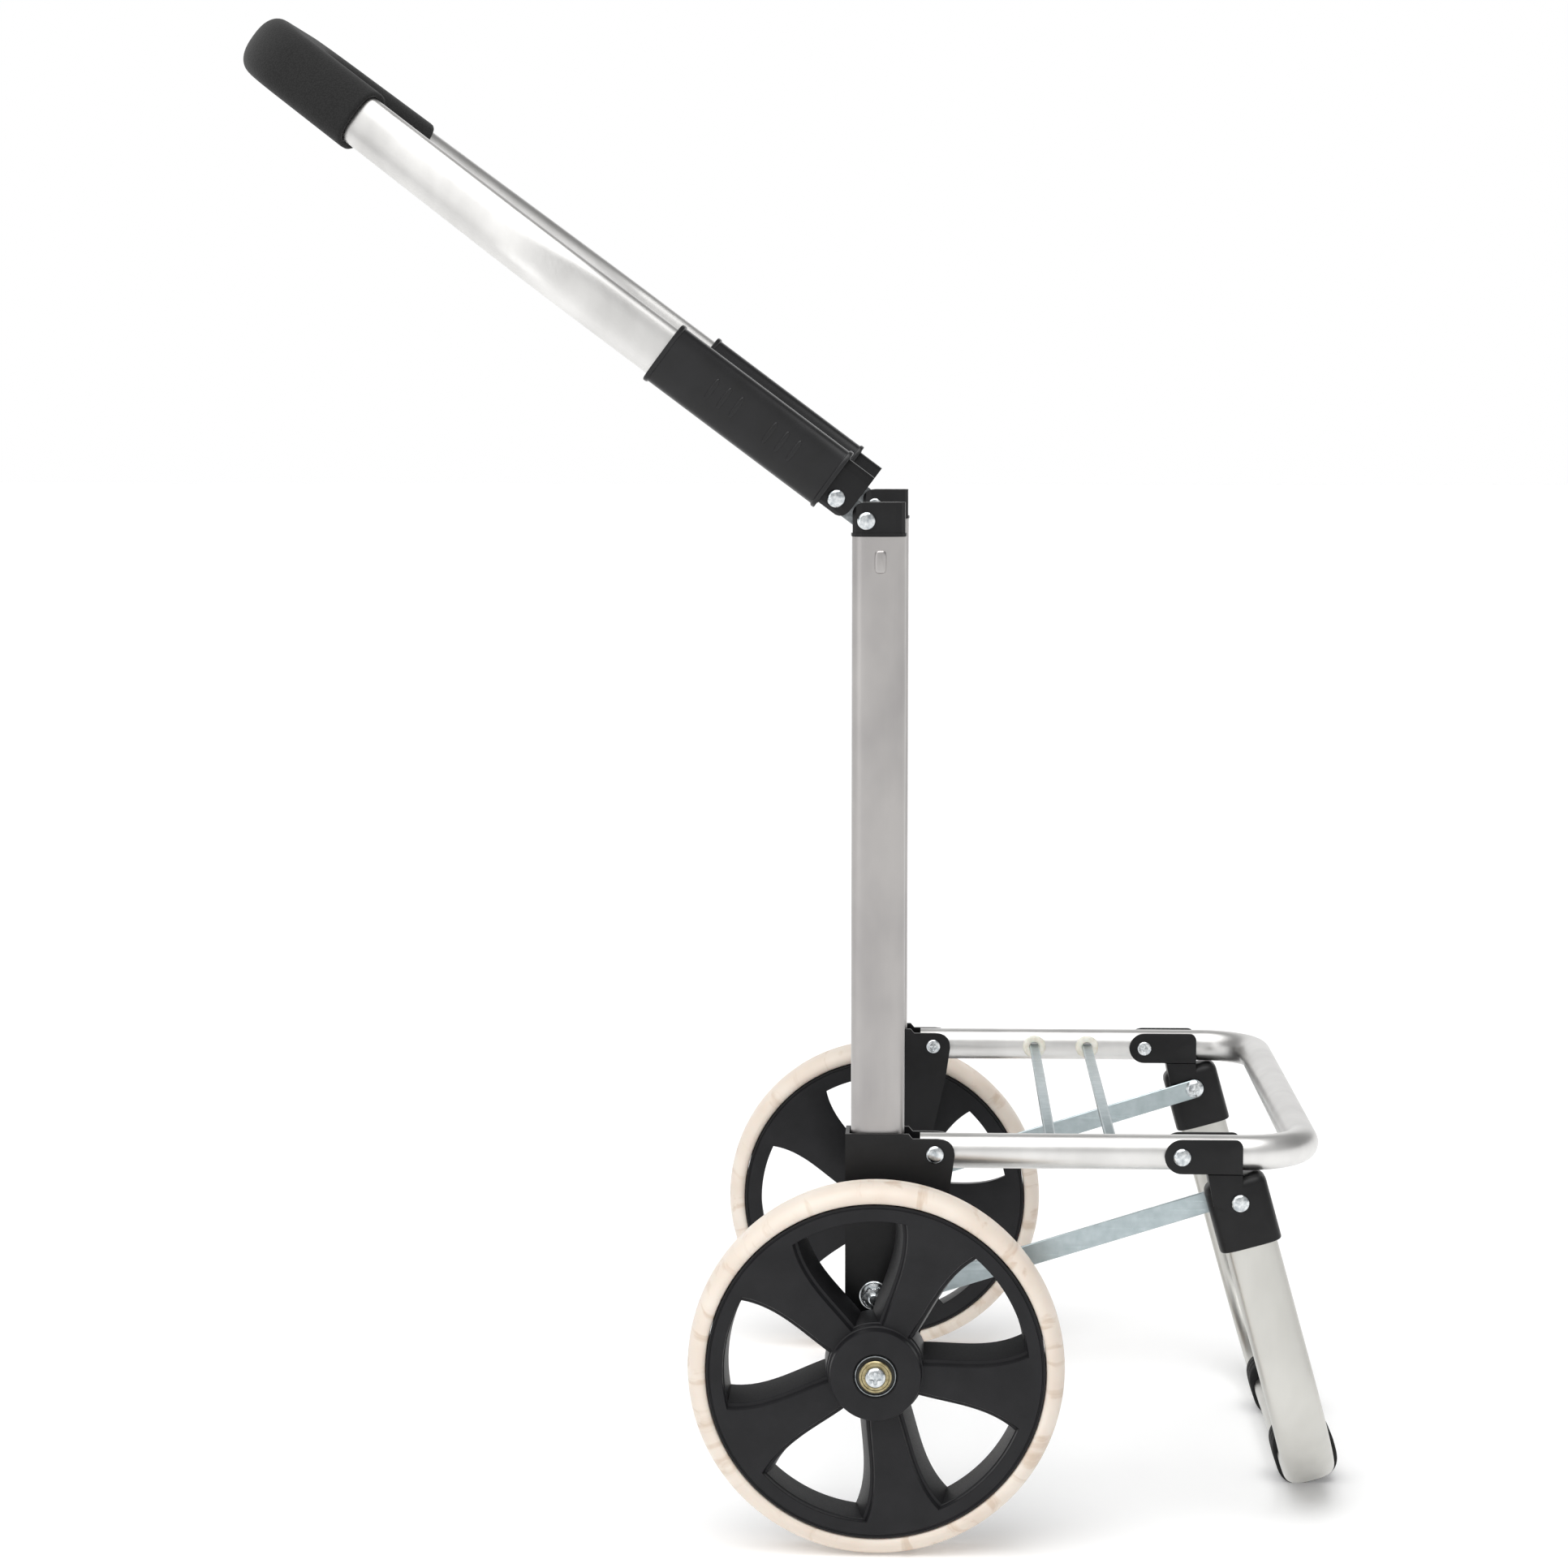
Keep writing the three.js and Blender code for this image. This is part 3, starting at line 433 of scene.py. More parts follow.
# %% [markdown]
# ## Uprights
# Each upright is a length of flat-oval tube with a tab pressed out near the top, where the locking
# sleeve would meet it. The tube is a ring of points run up the outside and turned in at each end by
# the thickness of the wall, since the cap and the bracket hide its ends. The tab is a small
# cushion of its own.

# %% Upright tubes
WIDE, THICK, WALL = 28.8, 18.0, 1.4
TAB_X, TAB_BELOW_TOP, TAB_WIDE, TAB_TALL = 0.9, 13.3, 6, 12


def upright(side, sign):
    def ring(margin, z):
        return [(x, sign * MAST_Y + y, z) for x, y in oval(WIDE - margin, THICK - margin)]
    rings = [ring(2 * WALL, MAST_BOTTOM), ring(0, MAST_BOTTOM), ring(0, MAST_TOP),
             ring(2 * WALL, MAST_TOP)]
    piece(f"upright_tube_{side}", rings, UPRIGHT_ALUMINIUM_PAINTED_SHADE, "frame",
          [f"mast_tube_{side}"], caps=False)
    rings = []
    for grow, out in ((0.6, -0.2), (0.0, 0.25), (-0.9, 0.75), (-2.2, 0.95)):
        rings.append([(TAB_X + x, sign * (MAST_Y + THICK / 2 + out), MAST_TOP - TAB_BELOW_TOP + z)
                      for x, z in oval(TAB_WIDE + grow, TAB_TALL + grow, 4, 28)])
    piece(f"stop_tab_{side}", rings, UPRIGHT_ALUMINIUM_PAINTED_SHADE, "frame")


for side, sign in SIDES:
    upright(side, sign)
print(f"uprights run from {MAST_BOTTOM:.0f} to {MAST_TOP:.0f} mm")

# %% [markdown]
# ## Bent tubes
# The handle, the leg and the platform rail are each one tube bent round corners. A curve object
# with a bevel could do it, but its section can't be a flat oval held square to the bend, so the
# rings are set one by one: straight runs need only two, and bends one every few degrees. Each end
# turns in by the wall and is closed there.

# %% Bow handle, leg bow and platform rail
HINGE_OFFSET, HANDLE_START = 6.6, 8.4
TURN_HANDLE = (Matrix.Translation(UPPER_HINGE) @ Matrix.Rotation(-TILT, 4, "Y")
               @ Matrix.Translation((HINGE_OFFSET, 0, 0)))
TURN_LEG = Matrix.Translation(SOCKET_PIVOT) @ Matrix.Rotation(-LEAN, 4, "Y")
STRAIGHT, GRIP_FROM, HANDLE_END, GRIP_Y = 200, 330, 405, 106
SLOPE = (MAST_Y - GRIP_Y) / (GRIP_FROM - STRAIGHT)
LEG_TOP, CROSSBAR_HEIGHT = 11, 17
RAIL_WIDE = 19


def handle_corners(first):
    half = [(0, MAST_Y - SLOPE * max(0, z - STRAIGHT), z)
            for z in (first, STRAIGHT, HANDLE_END) if z >= first]
    return half + [(x, -y, z) for x, y, z in reversed(half)]


def bent_tube(name, line, section, across, material, body, nodes, matrix=None):
    inside = [(a * 0.86, b * 0.9) for a, b in section]
    outer = along(line, [section] * len(line), across)
    first, last = along([line[0], line[-1]], [inside, inside], across)
    piece(name, [first] + outer + [last], material, body, nodes, matrix)


FLAT_OVAL = oval(THICK, WIDE)
leg_length = (SOCKET_PIVOT.z - CROSSBAR_HEIGHT) / math.cos(LEAN)
leg_corners = [(0, MAST_Y, LEG_TOP), (0, MAST_Y, -leg_length), (0, -MAST_Y, -leg_length),
               (0, -MAST_Y, LEG_TOP)]
RAIL_FRONT, RAIL_START = 231, PLATFORM_PIVOT.x - 8
rail_corners = [(x, y, PLATFORM_PIVOT.z) for x, y in ((RAIL_START, -MAST_Y), (RAIL_FRONT, -MAST_Y),
                                                      (RAIL_FRONT, MAST_Y), (RAIL_START, MAST_Y))]
bent_tube("handle_tube", bent(handle_corners(HANDLE_START), (120, 44, 44, 120)), FLAT_OVAL, (1, 0, 0),
          HANDLE_ALUMINIUM, "handle", ["handle_bow"], TURN_HANDLE)
bent_tube("leg_tube", bent(leg_corners, (74, 74)), FLAT_OVAL, (1, 0, 0), LEG_ALUMINIUM, "leg",
          ["leg_bow"], TURN_LEG)
bent_tube("rail_tube", bent(rail_corners, (34, 34)), oval(RAIL_WIDE, RAIL_WIDE, 2, 40), (0, 0, 1),
          RAIL_ALUMINIUM, "platform", ["platform_rail"])
print(f"leg {leg_length:.0f} mm from socket to crossbar")

# %% [markdown]
# ## Foam grip
# The grip is a foam sleeve pushed over the bend. Its ends are cut square and the foam rolls over
# slightly at the cut, so the rings start inside, come out over a rounded lip, and run round the
# bow at full size.

# %% Foam grip
FOAM_OVER = 7


def foam_grip():
    line = bent(handle_corners(GRIP_FROM), (44, 44))

    def skin(inset=0):
        over = FOAM_OVER - 2 * inset
        return oval(THICK + over, WIDE + over, 2.5)
    bore = oval(THICK + 0.6, WIDE + 0.6)

    def lip(spot, direction):
        point, way = spot
        rings = []
        for inset, step in ((None, 6), (None, 0.8), (1.6, 0.0), (0.7, 0.25), (0.15, 1.0), (0, 2.2)):
            section = bore if inset is None else skin(inset)
            rings.append(((point + way * direction * step, way), section))
        return rings
    ends = lip(line[0], 1)
    middle_part = [(spot, skin()) for spot in line[1:-1]]
    far = list(reversed(lip(line[-1], -1)))
    whole = ends + middle_part + far
    rings = along([spot for spot, _ in whole], [section for _, section in whole], (1, 0, 0))
    grip = piece("foam_sleeve", rings, FOAM, "handle", ["foam_grip"], TURN_HANDLE,
                 caps=False, smooth=60)


foam_grip()
print("grip runs round the bow from", GRIP_FROM, "mm")

# %% [markdown]
# ## Locking sleeves
# A moulded nylon sleeve slides on each leg of the handle; pushed down with the handle straight, it
# locks the double hinge. It has a rolled rim at each end. The grip pattern is two plain groups of
# three low bars on each face, the simplest thing that gives a thumb some hold.

# %% Locking sleeves
SLEEVE_FROM, SLEEVE_LONG, SLEEVE_WALL = 6.8, 113, 1.6
SLEEVE_OUT = 1.0 + SLEEVE_WALL
BARS, BAR_FROM, BAR_PITCH, BAR_GAP = 6, 26, 8, 14


def locking_sleeve(side, sign):
    def ring(grow, z):
        return [(x, sign * MAST_Y + y, SLEEVE_FROM + z)
                for x, y in oval(WIDE + 2 * SLEEVE_OUT + grow, THICK + 2 * SLEEVE_OUT + grow, 4, 72)]
    bore = -2 * SLEEVE_WALL
    body = [ring(grow, z) for grow, z in ((bore, 30), (bore, 0.4), (bore + 0.8, 0), (1.2, 0), (1.9, 0.4),
                                          (1.9, 1.8), (1.2, 2.4), (0.2, 2.7), (0, 3.2))]
    mirrored = [[(x, y, 2 * SLEEVE_FROM + SLEEVE_LONG - z) for x, y, z in r] for r in reversed(body)]
    piece(f"sleeve_{side}", body + mirrored, SLEEVE_NYLON, f"sleeve_{side}",
          [f"lock_sleeve_{side}"], TURN_HANDLE, caps=False)
    for row in range(BARS):
        height = SLEEVE_FROM + BAR_FROM + row * BAR_PITCH + (BAR_GAP if row >= BARS / 2 else 0)
        for face in (1, -1):
            bars = [[(x, sign * MAST_Y + face * (THICK / 2 + SLEEVE_OUT + out), height + z)
                     for x, z in oval(13 - 2 * pull, 2.6 - 2 * pull, 3, 28)]
                    for out, pull in ((-0.3, 0), (0.15, 0), (0.5, 0.35), (0.6, 0.8))]
            piece(f"sleeve_bar_{side}_{row}_{'out' if face > 0 else 'in'}", bars, SLEEVE_NYLON,
                  f"sleeve_{side}", (), TURN_HANDLE)


for side, sign in SIDES:
    locking_sleeve(side, sign)
print("two sleeves with plain grip bars")

# %% [markdown]
# ## Wheels
# Each wheel is a moulded rim with five windows and a cream tyre. The windows narrow towards the
# back so that the rim lets go of its mould, and a small step runs round each one near the front.
# A window is worked out from its angles, so every inset copy of it keeps the same number of
# points; the copies, joined front to back, are its walls, and the flat faces fill the rest.

# %% Wheel rims
WINDOWS, FIRST_WINDOW = 5, 28.6
RIM_FACE, HUB_FACE, RIM_EDGE, HUB_RIM = 13.8, 21.0, 89.7, 24.3
WINDOW_IN, WINDOW_OUT, HALF_IN, HALF_OUT, SWELL = 25.4, 81.0, 19.5, 22.1, 4.1


def window(index, inset):
    """Outline of one window, drawn in by inset at its sides and a third of that at its ends"""
    centre = math.radians(FIRST_WINDOW + 360 / WINDOWS * index)
    low, high = WINDOW_IN + inset / 3, WINDOW_OUT - inset / 3
    points = []

    def side_angle(radius, side):
        share = (radius - low) / (high - low)
        half = HALF_IN + (HALF_OUT - HALF_IN) * share + SWELL * 4 * share * (1 - share)
        return side * (math.radians(half) - inset / radius)
    for i in range(12):
        angle = centre + side_angle(low, -1) * (1 - 2 * i / 12)
        points.append((low * math.cos(angle), low * math.sin(angle)))
    for i in range(18):
        radius = low + (high - low) * i / 18
        angle = centre + side_angle(radius, 1)
        points.append((radius * math.cos(angle), radius * math.sin(angle)))
    for i in range(24):
        angle = centre + side_angle(high, 1) * (1 - 2 * i / 24)
        points.append((high * math.cos(angle), high * math.sin(angle)))
    for i in range(18):
        radius = high - (high - low) * i / 18
        angle = centre + side_angle(radius, -1)
        points.append((radius * math.cos(angle), radius * math.sin(angle)))
    return points


def circle(radius, count=120):
    return [(radius * math.cos(2 * math.pi * i / count), radius * math.sin(2 * math.pi * i / count))
            for i in range(count)]


def rim(side, sign):
    bm = bmesh.new()

    def ring(outline, out):
        points = [(x, sign * (WHEEL_Y + out), AXLE.z + z) for x, z in outline]
        return [bm.verts.new(point) for point in place(points)]

    def join(first, second):
        for i, vert in enumerate(first):
            after = (i + 1) % len(first)
            bm.faces.new((vert, first[after], second[after], second[i]))

    def face(rings):
        edges = [bm.edges.get((v, r[(i + 1) % len(r)])) or bm.edges.new((v, r[(i + 1) % len(r)]))
                 for r in rings for i, v in enumerate(r)]
        bmesh.ops.triangle_fill(bm, use_beauty=True, use_dissolve=False, edges=edges)
    hub = [(HUB_RIM + 0.8, RIM_FACE), (HUB_RIM + 0.2, RIM_FACE + 0.4), (HUB_RIM, RIM_FACE + 1.2),
           (HUB_RIM - 0.2, HUB_FACE - 0.9), (HUB_RIM - 0.5, HUB_FACE - 0.25), (HUB_RIM - 1.1, HUB_FACE),
           (12.0, HUB_FACE), (11.3, HUB_FACE - 0.6), (11.3, 14.0), (7.2, 14.0)]
    band = [(87.6, RIM_FACE), (88.0, RIM_FACE - 0.5), (88.4, RIM_FACE - 0.5), (88.7, RIM_FACE),
            (89.3, RIM_FACE - 0.1), (RIM_EDGE, RIM_FACE - 0.7), (RIM_EDGE, 0)]
    fronts, backs = [], []
    for index in range(WINDOWS):
        steps = [(-0.7, RIM_FACE), (-0.2, RIM_FACE - 0.2), (0.1, RIM_FACE - 0.8), (0.6, RIM_FACE - 3.6),
                 (0.9, RIM_FACE - 4.0), (2.3, RIM_FACE - 4.4), (2.6, RIM_FACE - 5.0), (6.2, 0.8 - RIM_FACE),
                 (5.9, 0.2 - RIM_FACE), (5.4, -RIM_FACE)]
        rings = [ring(window(index, inset), out) for inset, out in steps]
        for first, second in zip(rings, rings[1:]):
            join(first, second)
        fronts.append(rings[0])
        backs.append(rings[-1])
    for end, openings in ((1, fronts), (-1, backs)):
        inner = [ring(circle(radius), end * out) for radius, out in hub]
        outer = [ring(circle(radius), end * out) for radius, out in band]
        for rings in (inner, outer):
            for first, second in zip(rings, rings[1:]):
                join(first, second)
        face([inner[0], outer[0]] + openings)
    finish_mesh(bm, f"rim_{side}_moulded", RIM_PLASTIC, f"wheel_{side}",
                [f"rim_{side}"], 32)


for side, sign in SIDES:
    rim(side, sign)
print("rims with", WINDOWS, "windows")

# %% [markdown]
# ## Tyres and bearings
# A tyre is a turned profile: nearly straight side walls, round shoulders and a flat tread with a
# fine parting line. A ball bearing shows its two ground races with a dished rubber seal between
# them, so it is three rings, not one.

# %% Tyres and bearings
def tyre(side, sign):
    wall = [(90.0, 12.2), (90.5, 13.6), (91.8, 14.7), (93.6, 14.6), (95.6, 13.6), (97.4, 11.9), (98.8, 9.4),
            (99.6, 6.4), (99.95, 3.2), (100.0, 0.35), (99.8, 0.0)]
    profile = wall + [(radius, -out) for radius, out in reversed(wall[:-1])] + [wall[0]]
    rings = turned(profile, (0, sign * WHEEL_Y, AXLE.z), sign, 144)
    piece(f"tyre_ring_{side}", rings, TYRE_RUBBER, f"wheel_{side}",
          [f"tyre_{side}"], caps=False, smooth=50)


def bearing(side, sign, end):
    face = end * HUB_FACE
    centre = (0, sign * (WHEEL_Y + face), AXLE.z)
    inward = -end * sign
    name = f"{side}_{'outer' if end > 0 else 'inner'}"
    node = f"bearing_{'outer' if end > 0 else 'inner'}_{side}"
    races = (("race_outer", LINK_STEEL, "zinc_axle", [(11.0, 6.5), (11.0, 0.5), (10.8, 0.2), (10.3, 0.2),
              (10.1, 0.5), (10.1, 6.5)], [node]),
             ("race_inner", BRIGHT_ZINC, "zinc_axle", [(6.5, 6.5), (6.5, 0.4), (6.2, 0.1), (4.6, 0.1),
              (4.3, 0.4), (4.3, 6.5)], ()),
             ("seal", SEAL_RUBBER, "cap_nylon", [(10.1, 1.4), (9.9, 0.9), (8.8, 1.0), (7.0, 0.8),
              (6.5, 1.2)], ()))
    for label, material, slot, profile, nodes in races:
        piece(f"{label}_{name}", turned(profile, centre, inward, 64), material, f"wheel_{side}",
              nodes, caps=False)


for side, sign in SIDES:
    tyre(side, sign)
    bearing(side, sign, 1)
    bearing(side, sign, -1)
print("two tyres and four bearings")

# %% [markdown]
# ## Screw heads
# A cross recess is what makes a turned dome read as a screw. It could be cut by a Boolean, but a
# small recess is only seen from the front, so the ring mesh is pushed in where it crosses: the
# head is made with many fine rings and each point inside the cross sinks by the recess depth.

# %% Fasteners
def screw_head(name, centre, sign, profile, material, body, slot, nodes=(), recess=0.0, arm=1.0,
               reach=3.0):
    """A turned head; recess is the depth of a cross whose arms are arm wide and reach long"""
    sides = 96 if recess else 48
    fine = []
    for (r0, y0), (r1, y1) in zip(profile, profile[1:]):
        steps = 7 if recess and min(r0, r1) < reach + 0.6 else 1
        fine += [(r0 + (r1 - r0) * i / steps, y0 + (y1 - y0) * i / steps) for i in range(steps)]
    fine.append(profile[-1])
    rings = turned(fine, centre, sign, sides)
    for (radius, _), ring in zip(fine, rings):
        for i, (x, y, z) in enumerate(ring):
            near, far = sorted((abs(x - centre[0]), abs(z - centre[2])))
            if recess and far < reach and near < arm * (1.15 - 0.5 * far / reach):
                sunk = recess * (1 - 0.45 * far / reach)
                ring[i] = (x, y - sign * sunk, z)
    piece(name, rings, material, body, nodes, smooth=34)


def zinc_head(name, centre, sign, profile, body, nodes=(), **cross):
    screw_head(name, centre, sign, profile, BRIGHT_ZINC, body, "zinc_hardware", nodes, **cross)


def dome(radius, height, base):
    """Profile of a domed head from its rim to its crown"""
    points = [(radius, base), (radius, base + height * 0.12)]
    for i in range(1, 9):
        angle = math.pi / 2 * i / 8
        points.append((radius * math.cos(angle) ** 0.9 if i < 8 else 0.02,
                       base + height * (0.12 + 0.88 * math.sin(angle))))
    return points


def rivet(name, spot, half, body, node, inner=True):
    """A domed head outside, and a cross recess in the flatter head inside"""
    for side, sign in SIDES:
        centre = (spot.x, sign * MAST_Y, spot.z)
        shank = [(2.8, 0.0), (2.8, half + 0.3)]
        zinc_head(f"{name}_dome_{side}", centre, sign, shank + dome(4.9, 2.3, half + 0.3), body,
                  [f"{node}_{side}"])
        if inner:
            tail = [(4.2, half + 0.35), (4.2, half + 0.7), (3.6, half + 1.25), (2.2, half + 1.5),
                    (0.02, half + 1.55)]
            zinc_head(f"{name}_screw_{side}", centre, -sign, shank + tail, body,
                      recess=1.0, arm=0.75, reach=2.2)


rivet("platform_pivot", PLATFORM_PIVOT, BRACKET_HALF, "frame", "platform_rivet")
rivet("leg_pivot", LEG_PIVOT, BRACKET_HALF, "platform", "leg_rivet")
rivet("socket_pivot", SOCKET_PIVOT, BRACKET_HALF, "leg", "leg_socket_rivet", inner=False)
rivet("lower_hinge", LOWER_HINGE, THICK / 2, "frame", "mast_hinge_rivet")
rivet("upper_hinge", UPPER_HINGE, THICK / 2, "handle", "handle_hinge_rivet")
print("five pairs of rivets")

# %% [markdown]
# ## Axle, hub screws and frame bolts
# The axle is turned bar. At each end a yellow-zinc washer closes the bearing and a pan-head screw
# holds it. The bolt through each bracket ends in a flanged hex nut: six flats with corners
# chamfered by a turned cone, and the last threads of the bolt standing through it.

# %% Axle and bolts
def hub_fasteners(side, sign):
    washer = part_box(f"hub_washer_{side}")
    face = (washer[0].y if sign > 0 else washer[1].y) / MM
    centre = (0, face, AXLE.z)
    dished = [(0.02, 0), (8.6, 0), (8.6, 0.9), (8.2, 1.3), (7.4, 1.3), (7.1, 0.9), (5.9, 0.9), (0.02, 0.9)]
    screw_head(f"hub_washer_{side}_ring", centre, sign, dished, YELLOW_ZINC, "frame", "yellow_zinc",
               [f"hub_washer_{side}"])
    zinc_head(f"hub_screw_{side}_head", (0, face + sign * 1.2, AXLE.z), sign,
              [(5.5, 0)] + [(r, y + 0.3) for r, y in dome(5.6, 2.9, 0.2)], "frame",
              [f"hub_screw_{side}"], recess=1.7, arm=1.05, reach=3.2)
    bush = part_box(f"axle_spacer_{side}")
    low, high = bush[0].y / MM, bush[1].y / MM
    long = high - low
    profile = [(4.4, 0), (7.5, 0), (8.0, 0.5), (8.0, long - 0.5), (7.5, long), (4.4, long)]
    piece(f"bush_{side}", turned(profile, (0, low, AXLE.z), 1, 48), CAP_NYLON, "frame",
          [f"axle_spacer_{side}"])


def flange_nut(side, sign):
    out = BRACKET_HALF + 0.3
    centre = (TUBE_BOLT.x, sign * MAST_Y, TUBE_BOLT.z)
    flange = [(3.0, out), (7.8, out), (8.0, out + 0.4), (7.4, out + 1.1), (6.4, out + 1.6),
              (3.0, out + 1.6)]
    zinc_head(f"nut_flange_{side}", centre, sign, flange, "frame", [f"bracket_bolt_{side}"])
    rings = []
    for cap, step in ((6.2, 1.4), (6.2, 5.6), (5.7, 6.3), (5.2, 6.6)):
        ring = []
        for i in range(72):
            angle = 2 * math.pi * i / 72
            flat = 5.4 / math.cos((angle % (math.pi / 3)) - math.pi / 6)
            reach = min(flat, cap)
            ring.append((centre[0] + reach * math.cos(angle), centre[1] + sign * (out + step),
                         centre[2] + reach * math.sin(angle)))
        rings.append(ring)
    piece(f"nut_hex_{side}", rings, BRIGHT_ZINC, "frame", smooth=25)
    thread = [(2.6 + 0.35 * (i % 2), out + 6.4 + 0.35 * i) for i in range(9)]
    zinc_head(f"bolt_end_{side}", centre, sign, thread + [(2.3, out + 9.6), (0.02, out + 9.6)], "frame")
    head = [(2.9, 0), (2.9, out), (5.2, out), (5.2, out + 3.2), (4.6, out + 4.0), (0.02, out + 4.0)]
    zinc_head(f"bolt_head_{side}", centre, -sign, head, "frame")


def axle_bar():
    low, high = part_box("axle")
    half, step = high.y / MM, MAST_Y + BRACKET_HALF
    profile = [(0.02, -half), (3.5, -half), (4.0, 0.5 - half), (4.0, -step), (5.6, -step), (6.0, 0.4 - step)]
    profile += [(radius, -out) for radius, out in reversed(profile)]
    piece("axle_bar", turned(profile, (0, 0, AXLE.z), 1, 48), BRIGHT_ZINC, "frame",
          ["axle"], smooth=34)


axle_bar()
for side, sign in SIDES:
    hub_fasteners(side, sign)
    flange_nut(side, sign)
print("axle, hub screws and bracket bolts")

# %% [markdown]
# ## Struts, cross bars and grommets
# A strut is a strip of plated steel with rounded ends, sheared from flat stock, so its edges are
# barely broken. Two flat bars cross the platform, each held in the rail by a pair of white
# grommets whose flanges cover the holes.

# %% Struts and bars
def strip(name, spots, y, width, thickness, material, body, nodes):
    """A flat strip with round ends between two pivots, its edges broken by a fifth of a millimetre"""
    start_spot, end_spot = spots
    lean = math.atan2(end_spot.z - start_spot.z, end_spot.x - start_spot.x)

    def outline(inset):
        points = []
        for spot, turn in ((start_spot, math.pi / 2), (end_spot, -math.pi / 2)):
            for i in range(21):
                angle = lean + turn + math.pi * i / 20
                points.append((spot.x + (width / 2 - inset) * math.cos(angle),
                               spot.z + (width / 2 - inset) * math.sin(angle)))
        return points
    half = thickness / 2
    rings = [[(x, y + out, z) for x, z in outline(inset)] for inset, out in
             ((0.35, -half), (0, 0.3 - half), (0, half - 0.3), (0.35, half))]
    piece(name, rings, material, body, nodes)


for side, sign in SIDES:
    y = middle(f"strut_{side}").y / MM
    strip(f"strut_bar_{side}", (STRUT_PIVOT, SOCKET_PIVOT), y, 11.5, 2.0, ZINC_STRIP, "struts",
          [f"strut_{side}"])
    zinc_head(f"strut_end_screw_{side}", (SOCKET_PIVOT.x, y - sign * 1.0, SOCKET_PIVOT.z), -sign,
              [(5.5, 0.05), (5.5, 0.5), (4.9, 1.3), (3.4, 2.1), (1.6, 2.5), (0.02, 2.6)], "struts",
              [f"strut_screw_{side}"], recess=1.3, arm=0.9, reach=2.8)
    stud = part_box(f"strut_stud_{side}")
    tip, root = sorted((abs(stud[0].y), abs(stud[1].y)))
    neck = (root - tip) / MM - 2.3
    zinc_head(f"strut_stud_{side}_head", (STRUT_PIVOT.x, sign * root / MM, STRUT_PIVOT.z), -sign,
              [(2.8, 0), (2.8, neck)] + dome(4.9, 2.2, neck), "frame", [f"strut_stud_{side}"])
    strip(f"hinge_link_{side}", (LOWER_HINGE, UPPER_HINGE), sign * MAST_Y, 12.4, 5.2, LINK_STEEL, "links",
          [f"fold_link_{side}"])
print("struts and hinge links")

# %% Cross bars and grommets
for name in ("rear", "front"):
    low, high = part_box(f"cross_bar_{name}")
    spot, half = (low + high) / 2 / MM, (high.y - low.y) / 2 / MM
    rings = [[(spot.x - AXLE_X + x, y, spot.z + z) for x, z in oval(6 - cut, 3 - cut, 6, 40)]
             for cut, y in ((0.6, -half), (0, 0.4 - half), (0, half - 0.4), (0.6, half))]
    piece(f"cross_strip_{name}", rings, ZINC_STRIP, "platform", [f"cross_bar_{name}"])
    for side, sign in SIDES:
        outer = RAIL_WIDE / 2 - 0.9
        profile = [(radius, outer + out) for radius, out in (
            (2.7, -4), (4.6, -4), (4.6, 1.2), (7.0, 1.3), (7.2, 1.7), (7.0, 2.3), (6.0, 3.0), (4.4, 3.2),
            (3.4, 3.1), (2.9, 2.6), (2.7, -4))]
        rings = turned(profile, (spot.x - AXLE_X, sign * MAST_Y, spot.z), -sign, 48)
        piece(f"grommet_{name}_{side}_nylon", rings, WHITE_NYLON, "platform",
              [f"grommet_{name}_{side}"], caps=False)
print("cross bars and grommets")

# %% [markdown]
# ## Leg brackets and feet
# A leg bracket is one nylon moulding: a socket round the top of the leg, a neck, and two cheeks
# that straddle the rail and carry the pivot. The cheeks follow the CAD outline; what the eye needs
# is a smooth socket with a domed top corner. The feet are rubber shoes pressed on to the crossbar
# and worn flat where they stand.

# %% Leg brackets and feet
def outline_block(name, outline, y_low, y_high, edge, material, body, nodes=()):
    """A flat part with softened edges, from a convex or nearly convex outline in x and z"""
    cx = sum(x for x, _ in outline) / len(outline)
    cz = sum(z for _, z in outline) / len(outline)

    def shrunk(by):
        points = []
        for x, z in outline:
            away = math.hypot(x - cx, z - cz) or 1
            points.append((x - (x - cx) / away * by, z - (z - cz) / away * by))
        return points
    rings = [[(x, y, z) for x, z in shrunk(by)] for by, y in ((edge, y_low), (edge * 0.3, y_low + edge * 0.3),
             (0, y_low + edge), (0, y_high - edge), (edge * 0.3, y_high - edge * 0.3), (edge, y_high))]
    piece(name, rings, material, body, nodes)


def arc(cx, cz, radius, start_deg, end_deg, count=12):
    return [(cx + radius * math.cos(math.radians(start_deg + (end_deg - start_deg) * i / count)),
             cz + radius * math.sin(math.radians(start_deg + (end_deg - start_deg) * i / count)))
            for i in range(count + 1)]


CHEEK_RADIUS, CHEEK_THICK = 9.3, 2.2
FOOT_Y, FOOT_DEEP, FOOT_TALL = 72, 37.2, 33.6


